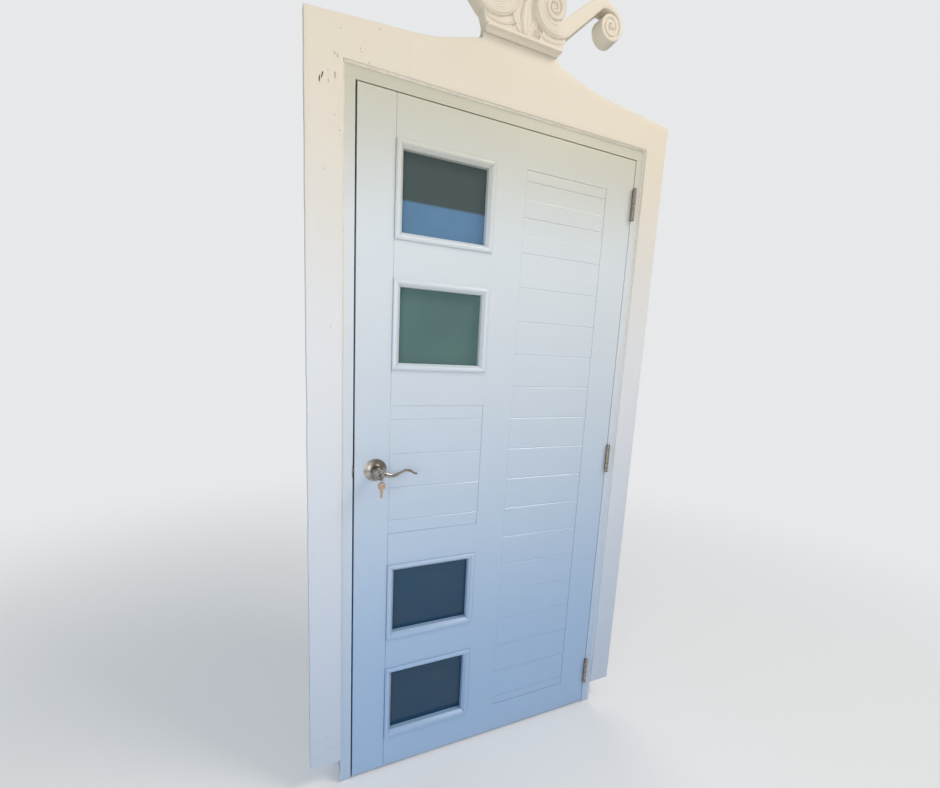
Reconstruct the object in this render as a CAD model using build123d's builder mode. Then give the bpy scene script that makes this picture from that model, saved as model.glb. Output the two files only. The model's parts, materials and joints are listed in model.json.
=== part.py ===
"""Glazed entrance door in its frame, with a plaster surround and a carved crest.

All sizes are in millimetres. X runs along the wall, to the right as seen from outside. Y runs
into the building and Z up. The origin is on the floor, midway between the jambs, in the plane
of the leaf's outer face.
"""

import os
from math import cos, exp, pi, radians, sin, tan

from build123d import *

os.makedirs("parts", exist_ok=True)


def save(part, name):
    """Label a finished piece and write it as one STEP file."""
    part.label = name
    export_step(part, f"parts/{name}.step")


# Leaf
leaf_width = 914.0
leaf_height = 2032.0
leaf_thickness = 45.0
floor_gap = 7.0
lock_gap = 5.0
hinge_gap = 3.0
head_gap = 3.0

# Leaf joinery
lock_stile_width = 102.0
hinge_stile_width = 110.0
mullion_width = 102.0
rail_height = 107.0
cross_rail_height = 102.0
stile_joint_bevel = 1.6
tenon_thickness = 12.0
tenon_length = 45.0
stub_tenon_length = 22.0
tenon_shoulder = 14.0
joinery_clearance = 0.2

# Windows
window_width = 297.0
window_height = 254.0
bead_width = 21.0
bead_proud = 7.5
bead_heel = 3.0
bead_shoulder = 4.5
sight_recess = 4.0
mitre_gap = 0.1
glass_thickness = 6.0
glass_edge_clearance = 3.0
bead_clearance = 0.3

# Grooved panels
panel_recess = 0.6
tongue_thickness = 12.0
tongue_length = 10.0
tongue_clearance = 0.3
panel_edge_bevel = 2.6
board_pitch = 103.2
board_groove_depth = 3.4
board_groove_width = 6.0
centre_groove_depth = 2.0
centre_groove_width = 4.0

# Jamb frame
jamb_face = 28.0
head_face = 32.0
frame_depth = 115.0
stop_projection = 13.0
seal_gap = 2.5

# Weatherstrips on the stops
seal_width = 9.0
seal_thickness = 2.2
seal_corner_radius = 0.9
seal_edge_offset = 2.0
seal_foot_gap = 1.0
seal_joint_gap = 0.3

# Wall fixings through the jambs
fixing_radius = 4.0
fixing_count = 4
fixing_end_distance = 200.0
fixing_depth_from_back = 34.0

# Plaster surround
surround_joint = 3.0
surround_leg_width = 85.0
surround_proud = 8.0
surround_thickness = 25.0
surround_foot = 86.0
surround_edge_radius = 2.0
corner_rise = 85.0
lock_leg_extra_width = 7.0
lock_corner_extra_rise = 4.0
shoulder_inset = 257.0
shoulder_rise = 108.0
flank_half_width = 196.0
flank_rise = 132.0
neck_half_width = 124.0
neck_side_rise = 153.0
neck_height = 14.0
sealant_width = 4.0

# Carved crest
crest_depth = 47.0
base_half_width = 121.0
base_height = 16.0
base_set_back = 4.0
base_cove_radius = 30.0
arm_slope = 41.0
arm_top_length = 127.0
arm_join_turn = 14.0
arm_lead_in = 14.0
inner_volute_offset = 85.0
inner_volute_height = 113.0
inner_volute_start_radius = 80.0
inner_volute_turn_ratio = 0.44
inner_volute_turns = 1.9
outer_volute_offset = 285.0
outer_volute_height = 124.0
outer_volute_radius = 47.0
outer_volute_pitch = 13.7
outer_volute_turns = 2.4
outer_arm_flare = 46.0
outer_flare_angle = 28.0
outer_ground_start = 60.0
volute_groove = 3.4
volute_ground_depth = 7.0
volute_ground_inset = 3.0
spiral_points_per_turn = 20
flank_depth = 40.0
field_depth = 34.0
field_half_width = 45.0
leaf_relief = 7.0
leaf_half_width = 15.0
leaf_base_gap = 4.0
leaf_length = 128.0
leaf_bevel_angle = 18.0
side_leaf_length = 74.0
side_leaf_half_width = 10.0
side_leaf_angle = 58.0
side_leaf_step = 4.0

# Hinges
hinge_height = 100.0
hinge_plate_width = 35.0
hinge_plate_thickness = 2.5
barrel_radius = 6.5
barrel_standoff = 0.5
hinge_pin_radius = 3.0
pin_clearance = 0.08
knuckle_count = 5
knuckle_gap = 0.4
knuckle_relief = 0.4
pin_head_radius = 5.2
pin_head_height = 2.6
hinge_end_distance = 138.0
mortise_clearance = 0.2

# Wood screws in the hinges, strike and face plate
screw_radius = 2.0
screw_head_radius = 4.1
screw_length = 24.0
screw_clearance = 0.06
countersink_angle = 82.0
hinge_screw_rows = 4
hinge_screw_row_pitch = 25.0
hinge_screw_near = 13.0
hinge_screw_far = 27.0

# Lock
lever_height = 1023.0
backset = 60.0
cross_bore_radius = 27.0
chassis_clearance = 0.4
spindle_size = 7.6
spindle_clearance = 0.3
spindle_bury = 14.0
latch_tube_radius = 11.9
latch_tube_wall = 1.6
latch_bore_clearance = 0.1
latch_tube_overlap = 6.0
bolt_width = 12.0
bolt_height = 14.0
bolt_throw = 11.5
bolt_tail = 34.0
bolt_clearance = 0.4
bolt_bevel = 8.0
faceplate_width = 25.0
faceplate_height = 57.0
faceplate_thickness = 2.5
faceplate_corner_radius = 5.0
faceplate_screw_pitch = 42.0
strike_height = 70.0
strike_width = 28.0
strike_thickness = 2.5
strike_corner_radius = 4.0
strike_hole_clearance = 2.0
strike_screw_pitch = 56.0
strike_lip_height = 34.0
strike_pocket_depth = 14.0

# Roses and levers
rose_radius = 33.5
rose_rim_height = 3.0
rose_step = 4.0
rose_dome_height = 6.0
rose_collar_radius = 15.5
rose_collar_height = 5.0
rose_hole_clearance = 0.3
neck_radius = 10.5
neck_start = 4.0
hub_start = 26.0
hub_radius = 14.5
hub_length = 36.0
hub_edge_radius = 2.5
handle_height = 20.0
handle_depth = 13.0
handle_set_back = 16.0
lever_reach = 114.0
lever_wave = 7.0
lever_wave_end = 0.88
lever_wave_lag = 1.5
handle_tip_share = 0.36
handle_taper = 3.2

# Key and cylinder
cylinder_radius = 9.0
cylinder_length = 26.0
cylinder_proud = 1.0
cylinder_clearance = 0.05
plug_radius = 6.3
plug_proud = 0.8
plug_bottom = 2.0
key_thickness = 2.0
key_slot_clearance = 0.1
key_blade_height = 7.6
key_blade_length = 22.0
key_bow_length = 19.0
key_bow_height = 21.0
key_bow_corner = 6.0
key_neck_length = 4.0
key_hole_radius = 3.2
key_hole_inset = 5.0
key_cut_count = 4
key_cut_depth = 1.8
ring_radius = 7.8
ring_wire_radius = 0.7
turn_button_radius = 6.5
turn_button_length = 14.0
turn_button_grip = 3.4

# Planes and edges that the pieces share
opening_half = (leaf_width + lock_gap + hinge_gap) / 2
leaf_left = lock_gap - opening_half
leaf_right = opening_half - hinge_gap
leaf_bottom = floor_gap
leaf_top = floor_gap + leaf_height
head_underside = leaf_top + head_gap
frame_half = opening_half + jamb_face
frame_top = head_underside + head_face
rebate_depth = leaf_thickness + seal_gap
stop_half = opening_half - stop_projection
stop_underside = head_underside - stop_projection
surround_inner = frame_half + surround_joint
surround_outer = surround_inner + surround_leg_width
surround_spring = frame_top + surround_joint
surround_front = -surround_proud
surround_back = surround_front + surround_thickness
lock_stile_edge = leaf_left + lock_stile_width
mullion_left = lock_stile_edge + window_width
mullion_right = mullion_left + mullion_width
hinge_stile_edge = leaf_right - hinge_stile_width
rail_bottom_edge = leaf_top - rail_height
rail_top_edge = leaf_bottom + rail_height
mid_thickness = leaf_thickness / 2
window_pitch = window_height + cross_rail_height
window_tops = [rail_bottom_edge, rail_bottom_edge - window_pitch]
window_tops += [rail_top_edge + window_pitch + window_height, rail_top_edge + window_height]
middle_panel_top = window_tops[1] - window_pitch
middle_panel_bottom = window_tops[2] + cross_rail_height
lever_x = leaf_left + backset
lever_z = leaf_bottom + lever_height
hinge_x = (leaf_right + opening_half) / 2
hinge_y = -(barrel_radius + barrel_standoff)
hinge_levels = {
    "top": leaf_top - hinge_end_distance,
    "middle": (leaf_top + leaf_bottom) / 2,
    "bottom": leaf_bottom + hinge_end_distance,
}


def block(x0, x1, y0, y1, z0, z1):
    """A square-edged length of material between six planes."""
    with BuildPart() as piece:
        with BuildSketch(Plane.XY.offset(min(z0, z1))):
            with Locations(((x0 + x1) / 2, (y0 + y1) / 2)):
                Rectangle(abs(x1 - x0), abs(y1 - y0))
        extrude(amount=abs(z1 - z0))
    return piece.part


# Jamb frame: rebated legs, with a head coped over their tops
def jamb(side):
    """One leg, with side -1 at the lock and +1 at the hinges."""
    with BuildPart() as leg:
        with BuildSketch():
            with BuildLine():
                Polyline(
                    (side * opening_half, 0),
                    (side * frame_half, 0),
                    (side * frame_half, frame_depth),
                    (side * stop_half, frame_depth),
                    (side * stop_half, rebate_depth),
                    (side * opening_half, rebate_depth),
                    close=True,
                )
            make_face()
        extrude(amount=head_underside)
        cope_top = head_underside + 1
        cope = (side * (stop_half - 1), side * (frame_half + 1), rebate_depth, frame_depth + 1)
        add(block(*cope, stop_underside, cope_top), mode=Mode.SUBTRACT)
        fixing_y = frame_depth - fixing_depth_from_back
        with Locations(*[Location((side * frame_half, fixing_y, z), (0, 90, 0)) for z in fixing_levels]):
            Cylinder(fixing_radius, 2 * frame_half - 2 * stop_half + 20, mode=Mode.SUBTRACT)
    return leg


fixing_pitch = (stop_underside - 2 * fixing_end_distance) / (fixing_count - 1)
fixing_levels = [fixing_end_distance + i * fixing_pitch for i in range(fixing_count)]

lock_jamb = jamb(-1)
hinge_jamb = jamb(1)

with BuildPart() as head_jamb:
    with BuildSketch(Plane.YZ):
        with BuildLine():
            Polyline(
                (0, head_underside),
                (0, frame_top),
                (frame_depth, frame_top),
                (frame_depth, stop_underside),
                (rebate_depth, stop_underside),
                (rebate_depth, head_underside),
                close=True,
            )
        make_face()
    extrude(amount=frame_half, both=True)


# Weatherstrips: soft bulbs stuck to the faces of the stops, one up each leg and one along the head
def weatherstrip(start, width_direction, run_direction, length):
    """A strip whose back lies on the stop, from start along run_direction."""
    with BuildPart() as strip:
        with BuildSketch(Plane(start, x_dir=width_direction, z_dir=run_direction)) as section:
            Rectangle(seal_width, seal_thickness, align=(Align.CENTER, Align.MAX))
            fillet(section.vertices().group_by(Axis.Y)[0], seal_corner_radius)
        extrude(amount=length)
    return strip.part


seal_x = stop_half + seal_edge_offset + seal_width / 2
seal_z = stop_underside + seal_edge_offset + seal_width / 2
seal_leg_length = seal_z + seal_width / 2 - seal_foot_gap
seal_head_start = seal_width / 2 - seal_x + seal_joint_gap
with BuildPart() as weatherstrips:
    for side in (-1, 1):
        add(weatherstrip((side * seal_x, rebate_depth, seal_foot_gap), (1, 0, 0), (0, 0, 1), seal_leg_length))
    head_start = (seal_head_start, rebate_depth, seal_z)
    add(weatherstrip(head_start, (0, 0, -1), (1, 0, 0), -2 * seal_head_start))
save(weatherstrips.part, "weatherstrips")


# Plaster surround: two flat legs under a pediment head with a raised neck
def surround_leg(side, width):
    """One flat leg, which stops above the skirting."""
    centre = side * (surround_inner + width / 2)
    with BuildPart() as leg:
        with BuildSketch(Plane.XY.offset(surround_foot)):
            with Locations((centre, surround_front)):
                Rectangle(width, surround_thickness, align=(Align.CENTER, Align.MIN))
        extrude(amount=surround_spring - surround_foot)
        outer_edges = leg.edges().filter_by(Axis.Z).group_by(Axis.Y)[0]
        fillet(outer_edges, surround_edge_radius)
    return leg


lock_leg_width = surround_leg_width + lock_leg_extra_width
save(surround_leg(-1, lock_leg_width).part, "surround_leg_lock_side")
save(surround_leg(1, surround_leg_width).part, "surround_leg_hinge_side")

neck_side_z = surround_spring + neck_side_rise
neck_top = neck_side_z + neck_height


def pediment_half(side, leg_width, corner_height):
    """Half of the pediment: flat over the leg, then swept up to the neck."""
    shoulder = (side * (surround_outer - shoulder_inset), surround_spring + shoulder_rise)
    flank = (side * flank_half_width, surround_spring + flank_rise)
    outer = side * (surround_inner + leg_width)
    with BuildPart() as half:
        with BuildSketch(Plane.XZ.offset(-surround_back)):
            with BuildLine():
                base = Line((0, surround_spring), (outer, surround_spring))
                end = Line(base @ 1, (outer, surround_spring + corner_height))
                slope = Line(end @ 1, shoulder)
                sweep_up = TangentArc(slope @ 1, flank, tangent=slope % 1)
                rise = Line(sweep_up @ 1, (side * neck_half_width, neck_side_z))
                neck = Line(rise @ 1, (side * neck_half_width, neck_top))
                top = Line(neck @ 1, (0, neck_top))
                Line(top @ 1, (0, surround_spring))
            make_face()
        extrude(amount=surround_thickness)
    return half.part


with BuildPart() as surround_head:
    add(pediment_half(-1, lock_leg_width, corner_rise + lock_corner_extra_rise))
    add(pediment_half(1, surround_leg_width, corner_rise))

# Sealant: a fillet in the corner between the jambs' faces and the surround's edge
with BuildPart() as sealant_bead:
    with BuildSketch():
        for side in (-1, 1):
            with BuildLine():
                corner = (side * surround_inner, 0)
                toe = (side * (surround_inner - sealant_width), 0)
                crown = (side * surround_inner, -sealant_width)
                Line(crown, corner)
                Line(corner, toe)
                RadiusArc(toe, crown, side * 2 * sealant_width)
            make_face()
    extrude(amount=frame_top - 0.5)
    with BuildSketch(Plane.YZ.offset(-surround_inner)):
        with BuildLine():
            Line((-sealant_width, surround_spring), (0, surround_spring))
            Line((0, surround_spring), (0, surround_spring - sealant_width))
            RadiusArc((0, surround_spring - sealant_width), (-sealant_width, surround_spring), 2 * sealant_width)
        make_face()
    extrude(amount=2 * surround_inner)


# Crest: a cast ornament of two S-scrolls either side of a leaf, on a moulded base
crest_back = Plane.XZ.offset(-surround_back)
crest_front = surround_back - crest_depth
base_top = neck_top + base_height
inner_eye = (inner_volute_offset, neck_top + inner_volute_height)
outer_eye = (outer_volute_offset, neck_top + outer_volute_height)
inner_start = arm_slope - 90
outer_start = arm_slope + 90
inner_end = 360 * inner_volute_turns
outer_end = 360 * outer_volute_turns


def on_spiral(eye, start_angle, turn, radius):
    """A point on a clockwise spiral, turn degrees on from its start angle."""
    angle = radians(start_angle - turn)
    return (eye[0] + radius * cos(angle), eye[1] + radius * sin(angle))


def inner_radius(turn):
    """The inner volute tightens by the same ratio each turn."""
    return inner_volute_start_radius * inner_volute_turn_ratio ** (turn / 360)


def inner_band_edge(turn):
    """The inner volute's band stops short of its own next turn."""
    return inner_radius(turn + 360) + volute_groove


def outer_radius(turn):
    """The outer volute tightens evenly, after the arm's top edge has swept in."""
    even = outer_volute_radius - outer_volute_pitch * turn / 360
    return even + outer_arm_flare * exp(-turn / outer_flare_angle)


def outer_band_edge(turn):
    """The outer volute's band stops short of its own next turn, and opens into the arm."""
    flare = outer_volute_pitch * exp(-turn / outer_flare_angle)
    return outer_radius(turn + 360) + volute_groove + flare


def spiral(eye, start_angle, radius_at, first, last, inset=0.0):
    """Points along one edge of a volute's band."""
    count = max(6, round(abs(last - first) / 360 * spiral_points_per_turn))
    turns = [first + (last - first) * i / count for i in range(count + 1)]
    return [on_spiral(eye, start_angle, t, radius_at(t) - inset) for t in turns]


def up_arm(distance):
    """A point on the arm's straight top edge, measured from the inner volute."""
    foot = on_spiral(inner_eye, inner_start, 0, inner_band_edge(0))
    slope = radians(arm_slope)
    return (foot[0] + distance * cos(slope), foot[1] + distance * sin(slope))


with BuildPart() as scrolls:
    # The bands run the full depth of the crest
    with BuildSketch(crest_back):
        with BuildLine():
            lead_in = [up_arm(arm_top_length - arm_lead_in), up_arm(arm_top_length)]
            coil = spiral(outer_eye, outer_start, outer_radius, arm_join_turn, outer_end)
            over = Spline(lead_in + coil)
            back_out = Spline(spiral(outer_eye, outer_start, outer_band_edge, outer_end - 360, 0))
            under = Spline(spiral(inner_eye, inner_start, inner_radius, 0, inner_end))
            back_in = Spline(spiral(inner_eye, inner_start, inner_band_edge, inner_end - 360, 0))
            Line(over @ 1, back_out @ 0)
            Line(back_out @ 1, under @ 0)
            Line(under @ 1, back_in @ 0)
            Line(back_in @ 1, over @ 0)
        make_face()
        mirror(about=Plane.YZ)
    extrude(amount=crest_depth)
    # The grounds of the volutes are set back from their bands
    with BuildSketch(crest_back):
        first = outer_ground_start
        with BuildLine():
            rim = Spline(spiral(outer_eye, outer_start, outer_radius, first, first + 360, volute_ground_inset))
            Line(rim @ 1, rim @ 0)
        make_face()
        with BuildLine():
            rim = Spline(spiral(inner_eye, inner_start, inner_radius, 0, 360, volute_ground_inset))
            Line(rim @ 1, rim @ 0)
        make_face()
        mirror(about=Plane.YZ)
    extrude(amount=crest_depth - volute_ground_depth)

with BuildPart() as crest_body:
    # A flank fills each side between the base and the inner volute
    arm_root = on_spiral(inner_eye, inner_start, 0, inner_volute_start_radius - volute_ground_inset)
    with BuildSketch(crest_back):
        with BuildLine():
            Polyline(
                arm_root,
                (base_half_width, base_top - 1),
                (field_half_width, base_top - 1),
                inner_eye,
                close=True,
            )
        make_face()
        mirror(about=Plane.YZ)
    extrude(amount=flank_depth)
    # The field between the scrolls lies deeper
    field_top = inner_eye[1] + leaf_half_width
    with BuildSketch(crest_back):
        with BuildLine():
            Polyline(
                (0, base_top - 1),
                (field_half_width + 1, base_top - 1),
                inner_eye,
                (leaf_half_width, field_top),
                (0, field_top),
                close=True,
            )
        make_face()
        mirror(about=Plane.YZ)
    extrude(amount=field_depth)
    # The base mould
    with BuildSketch(Plane.YZ.offset(-base_half_width)):
        with BuildLine():
            foot = Line((surround_back, neck_top), (surround_front - base_set_back, neck_top))
            cove = RadiusArc(foot @ 1, (crest_front, neck_top + base_height / 2), base_cove_radius)
            lip = Line(cove @ 1, (crest_front, base_top))
            back = Line(lip @ 1, (surround_back, base_top))
            Line(back @ 1, foot @ 0)
        make_face()
    extrude(amount=2 * base_half_width)


def crest_leaf(length, half_width, tilt, foot):
    """A pointed leaf with bevelled sides, standing on the field."""
    lean = radians(tilt)
    plane = Plane(foot, x_dir=(cos(lean), 0, -sin(lean)), z_dir=(0, -1, 0))
    with BuildPart() as blade:
        with BuildSketch(plane):
            with BuildLine():
                right = ThreePointArc((0, 0), (half_width, length * 0.4), (0, length))
                ThreePointArc(right @ 1, (-half_width, length * 0.4), (0, 0))
            make_face()
        extrude(amount=field_depth / 2 + leaf_relief, taper=leaf_bevel_angle)
    return blade.part


leaf_foot_z = base_top + leaf_base_gap
leaf_y = surround_back - field_depth / 2
with BuildPart() as carved_crest:
    add(scrolls.part)
    add(crest_body.part)
    add(crest_leaf(leaf_length, leaf_half_width, 0, (0, leaf_y, leaf_foot_z)))
    for side in (-1, 1):
        foot = (side * leaf_half_width / 2, leaf_y - side_leaf_step, leaf_foot_z)
        add(crest_leaf(side_leaf_length, side_leaf_half_width, side * side_leaf_angle, foot))


# Leaf joinery: stiles through, rails tenoned in, mullion and cross rails stub tenoned
def tenon(x0, x1, z0, z1, spare=0.0):
    """A tenon in the middle of the thickness, or with spare, the mortise that takes it."""
    half = tenon_thickness / 2 + spare
    return block(x0, x1, mid_thickness - half, mid_thickness + half, z0 - spare, z1 + spare)


def panel_slot(x0, x1, z0, z1):
    """The grooves that hold a panel's tongue, cut as one block round the panel."""
    reach = tongue_length + tongue_clearance
    half = tongue_thickness / 2 + tongue_clearance
    y0 = mid_thickness - half
    y1 = mid_thickness + half
    return block(x0 - reach, x1 + reach, y0, y1, z0 - reach, z1 + reach)


tall_panel_area = (mullion_right, hinge_stile_edge, rail_top_edge, rail_bottom_edge)
middle_panel_area = (lock_stile_edge, mullion_left, middle_panel_bottom, middle_panel_top)
tall_slot = panel_slot(*tall_panel_area)
middle_slot = panel_slot(*middle_panel_area)

rail_levels = {"top_rail": (rail_bottom_edge, leaf_top), "bottom_rail": (leaf_bottom, rail_top_edge)}
cross_levels = {
    "cross_rail_1": window_tops[0] - window_height,
    "cross_rail_2": window_tops[1] - window_height,
    "cross_rail_3": middle_panel_bottom,
    "cross_rail_4": window_tops[3] + cross_rail_height,
}


def rail_tenons(side, spare=0.0):
    """The two rails' tenons in one stile, with side -1 at the lock and +1 at the hinges."""
    edge = lock_stile_edge if side < 0 else hinge_stile_edge
    tip = edge + side * (tenon_length + spare)
    pair = []
    for z0, z1 in rail_levels.values():
        pair.append(tenon(edge, tip, z0 + tenon_shoulder, z1 - tenon_shoulder, spare))
    return pair


def cross_tenons(side, spare=0.0):
    """The cross rails' stub tenons, in the lock stile for -1 and in the mullion for +1."""
    edge = lock_stile_edge if side < 0 else mullion_left
    tip = edge + side * (stub_tenon_length + spare)
    stubs = []
    for top in cross_levels.values():
        z0 = top - cross_rail_height + tenon_shoulder
        stubs.append(tenon(edge, tip, z0, top - tenon_shoulder, spare))
    return stubs


def mullion_tenon(side, spare=0.0):
    """The mullion's stub tenon, in the bottom rail for -1 and in the top rail for +1."""
    edge = rail_top_edge if side < 0 else rail_bottom_edge
    tip = edge + side * (stub_tenon_length + spare)
    left = mullion_left + tenon_shoulder
    right = mullion_right - tenon_shoulder
    return tenon(left, right, min(edge, tip), max(edge, tip), spare)


screw_rows = [(i - (hinge_screw_rows - 1) / 2) * hinge_screw_row_pitch for i in range(hinge_screw_rows)]
screw_places = []
for row, offset in enumerate(screw_rows):
    screw_places.append((hinge_screw_near if row % 2 else hinge_screw_far, offset))


def hinge_mortise(side):
    """The recesses for three hinge plates and their screws, in the leaf for -1, the jamb for +1."""
    face = leaf_right if side < 0 else opening_half
    depth = face + side * (hinge_plate_thickness + mortise_clearance / 4)
    reach = hinge_plate_width + mortise_clearance
    half = hinge_height / 2 + mortise_clearance
    pockets = []
    for level in hinge_levels.values():
        pockets.append(block(face - side, depth, -1, reach, level - half, level + half))
        for y, offset in screw_places:
            hole = Location((face, y, level + offset), (0, 90, 0))
            with BuildPart() as pilot:
                with Locations(hole):
                    Cylinder(screw_radius + screw_clearance, 2 * (screw_length + 1))
            pockets.append(pilot.part)
    return pockets


latch_y = mid_thickness
faceplate_back = leaf_left + faceplate_thickness
tube_end = lever_x - cross_bore_radius + latch_tube_overlap

with BuildPart() as lock_stile:
    add(block(leaf_left, lock_stile_edge, 0, leaf_thickness, leaf_bottom, leaf_top))
    inner_edges = lock_stile.edges().filter_by(Axis.Z).group_by(Axis.X)[-1]
    chamfer(inner_edges, stile_joint_bevel)
    for mortise in rail_tenons(-1, joinery_clearance) + cross_tenons(-1, joinery_clearance):
        add(mortise, mode=Mode.SUBTRACT)
    add(middle_slot, mode=Mode.SUBTRACT)
    with Locations(Location((lever_x, mid_thickness, lever_z), (90, 0, 0))):
        Cylinder(cross_bore_radius, leaf_thickness + 2, mode=Mode.SUBTRACT)
    with Locations(Location((leaf_left - 1, latch_y, lever_z), (0, 90, 0))):
        bore_radius = latch_tube_radius + latch_bore_clearance
        along = (Align.CENTER, Align.CENTER, Align.MIN)
        Cylinder(bore_radius, backset, align=along, mode=Mode.SUBTRACT)
    half_width = faceplate_width / 2 + mortise_clearance
    half_height = faceplate_height / 2 + mortise_clearance
    add(
        block(
            leaf_left - 1,
            faceplate_back,
            latch_y - half_width,
            latch_y + half_width,
            lever_z - half_height,
            lever_z + half_height,
        ),
        mode=Mode.SUBTRACT,
    )
    for end in (-1, 1):
        z = lever_z + end * faceplate_screw_pitch / 2
        with Locations(Location((leaf_left - 1, latch_y, z), (0, 90, 0))):
            Cylinder(screw_radius + screw_clearance, screw_length + 3, align=along, mode=Mode.SUBTRACT)

with BuildPart() as hinge_stile:
    add(block(hinge_stile_edge, leaf_right, 0, leaf_thickness, leaf_bottom, leaf_top))
    for mortise in rail_tenons(1, joinery_clearance):
        add(mortise, mode=Mode.SUBTRACT)
    add(tall_slot, mode=Mode.SUBTRACT)
    for pocket in hinge_mortise(-1):
        add(pocket, mode=Mode.SUBTRACT)

with BuildPart() as hinge_jamb_cut:
    add(hinge_jamb.part)
    for pocket in hinge_mortise(1):
        add(pocket, mode=Mode.SUBTRACT)

strike_face = -opening_half
strike_back = strike_face - strike_thickness
with BuildPart() as lock_jamb_cut:
    add(lock_jamb.part)
    half_width = strike_width / 2 + mortise_clearance
    half_height = strike_height / 2 + mortise_clearance
    recess = (latch_y - half_width, latch_y + half_width, lever_z - half_height, lever_z + half_height)
    add(block(strike_back, strike_face + 1, *recess), mode=Mode.SUBTRACT)
    lip_half = strike_lip_height / 2 + mortise_clearance
    add(block(strike_back, strike_face + 1, -1, latch_y, lever_z - lip_half, lever_z + lip_half), mode=Mode.SUBTRACT)
    pocket_y = bolt_width / 2 + strike_hole_clearance
    pocket_z = bolt_height / 2 + strike_hole_clearance
    pocket = (latch_y - pocket_y, latch_y + pocket_y, lever_z - pocket_z, lever_z + pocket_z)
    add(block(strike_face - strike_pocket_depth, strike_face + 1, *pocket), mode=Mode.SUBTRACT)
    for end in (-1, 1):
        z = lever_z + end * strike_screw_pitch / 2
        with Locations(Location((strike_face, latch_y, z), (0, 90, 0))):
            Cylinder(screw_radius + screw_clearance, 2 * (screw_length + 1), mode=Mode.SUBTRACT)

left_ends = dict(zip(rail_levels, rail_tenons(-1)))
right_ends = dict(zip(rail_levels, rail_tenons(1)))
for name, (z0, z1) in rail_levels.items():
    with BuildPart() as rail:
        add(block(lock_stile_edge, hinge_stile_edge, 0, leaf_thickness, z0, z1))
        add(left_ends[name])
        add(right_ends[name])
        add(tall_slot, mode=Mode.SUBTRACT)
        add(mullion_tenon(1 if name == "top_rail" else -1, joinery_clearance), mode=Mode.SUBTRACT)
    save(rail.part, name)

with BuildPart() as centre_mullion:
    add(block(mullion_left, mullion_right, 0, leaf_thickness, rail_top_edge, rail_bottom_edge))
    add(mullion_tenon(-1))
    add(mullion_tenon(1))
    add(tall_slot, mode=Mode.SUBTRACT)
    add(middle_slot, mode=Mode.SUBTRACT)
    for mortise in cross_tenons(1, joinery_clearance):
        add(mortise, mode=Mode.SUBTRACT)

for name, lock_end, mullion_end in zip(cross_levels, cross_tenons(-1), cross_tenons(1)):
    top = cross_levels[name]
    with BuildPart() as cross_rail:
        add(block(lock_stile_edge, mullion_left, 0, leaf_thickness, top - cross_rail_height, top))
        add(lock_end)
        add(mullion_end)
        add(middle_slot, mode=Mode.SUBTRACT)
    save(cross_rail.part, name)

save(lock_jamb_cut.part, "jamb_lock_side")
save(hinge_jamb_cut.part, "jamb_hinge_side")
save(head_jamb.part, "head_jamb")
save(surround_head.part, "surround_head")
save(sealant_bead.part, "sealant_bead")
save(carved_crest.part, "crest")
save(lock_stile.part, "lock_stile")
save(hinge_stile.part, "hinge_stile")
save(centre_mullion.part, "centre_mullion")


# Grooved panels: boards with a deep V at each joint and a shallow one down each middle
def grooved_panel(x0, x1, z0, z1):
    """A panel with tongues on all sides and level grooves on both faces."""
    width = x1 - x0
    face = panel_recess
    back = leaf_thickness - panel_recess
    step = board_pitch / 2
    count = int((z1 - z0) / step)
    first = z1 - (z1 - z0 - count * step) / 2 - step / 2
    levels = [first - i * step for i in range(count)]
    cutters = []
    for i, z in enumerate(levels):
        deep = i % 2 == 0
        depth = board_groove_depth if deep else centre_groove_depth
        half = (board_groove_width if deep else centre_groove_width) / 2
        cutters.append((z, depth, half))
    with BuildPart() as panel:
        add(block(x0, x1, face, back, z0, z1))
        chamfer(panel.faces().sort_by(Axis.Y)[0].edges(), panel_edge_bevel)
        chamfer(panel.faces().sort_by(Axis.Y)[-1].edges(), panel_edge_bevel)
        with BuildSketch(Plane.YZ.offset(x0 - 1)):
            for z, depth, half in cutters:
                for surface, inward in ((face, 1), (back, -1)):
                    with BuildLine():
                        Polyline(
                            (surface - inward, z - half),
                            (surface + inward * depth, z),
                            (surface - inward, z + half),
                            close=True,
                        )
                    make_face()
        extrude(amount=width + 2, mode=Mode.SUBTRACT)
        y0 = mid_thickness - tongue_thickness / 2
        y1 = mid_thickness + tongue_thickness / 2
        add(block(x0 - tongue_length, x1 + tongue_length, y0, y1, z0 - tongue_length, z1 + tongue_length))
    return panel.part


save(grooved_panel(*tall_panel_area), "tall_grooved_panel")
save(grooved_panel(*middle_panel_area), "middle_grooved_panel")


# Windows: a pane held between mitred beads, which stand proud of the leaf's faces
glass_front = mid_thickness - glass_thickness / 2
bead_seat = glass_front - bead_clearance


def bead_strip(length):
    """One mitred strip along X, with the opening's edge at its top and its face outwards."""
    with BuildPart() as strip:
        with BuildSketch(Plane.YZ.offset(-length / 2)):
            with BuildLine():
                rear = Line((bead_seat, -bead_clearance), (-bead_heel, -bead_clearance))
                crown = (-bead_proud, -bead_width * 0.32)
                shoulder_point = (-bead_shoulder, -bead_width * 0.68)
                round_over = ThreePointArc(rear @ 1, crown, shoulder_point)
                slope_in = Line(round_over @ 1, (sight_recess, -bead_width))
                sight_edge = Line(slope_in @ 1, (bead_seat, -bead_width))
                Line(sight_edge @ 1, rear @ 0)
            make_face()
        extrude(amount=length)
        for end in (-1, 1):
            corner = end * (length / 2 - mitre_gap / 2)
            split(bisect_by=Plane((corner, 0, 0), x_dir=(0, 1, 0), z_dir=(end, 0, -1)), keep=Keep.BOTTOM)
    return strip.part


level_strip = bead_strip(window_width)
upright_strip = bead_strip(window_height)
window_x = (lock_stile_edge + mullion_left) / 2

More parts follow.
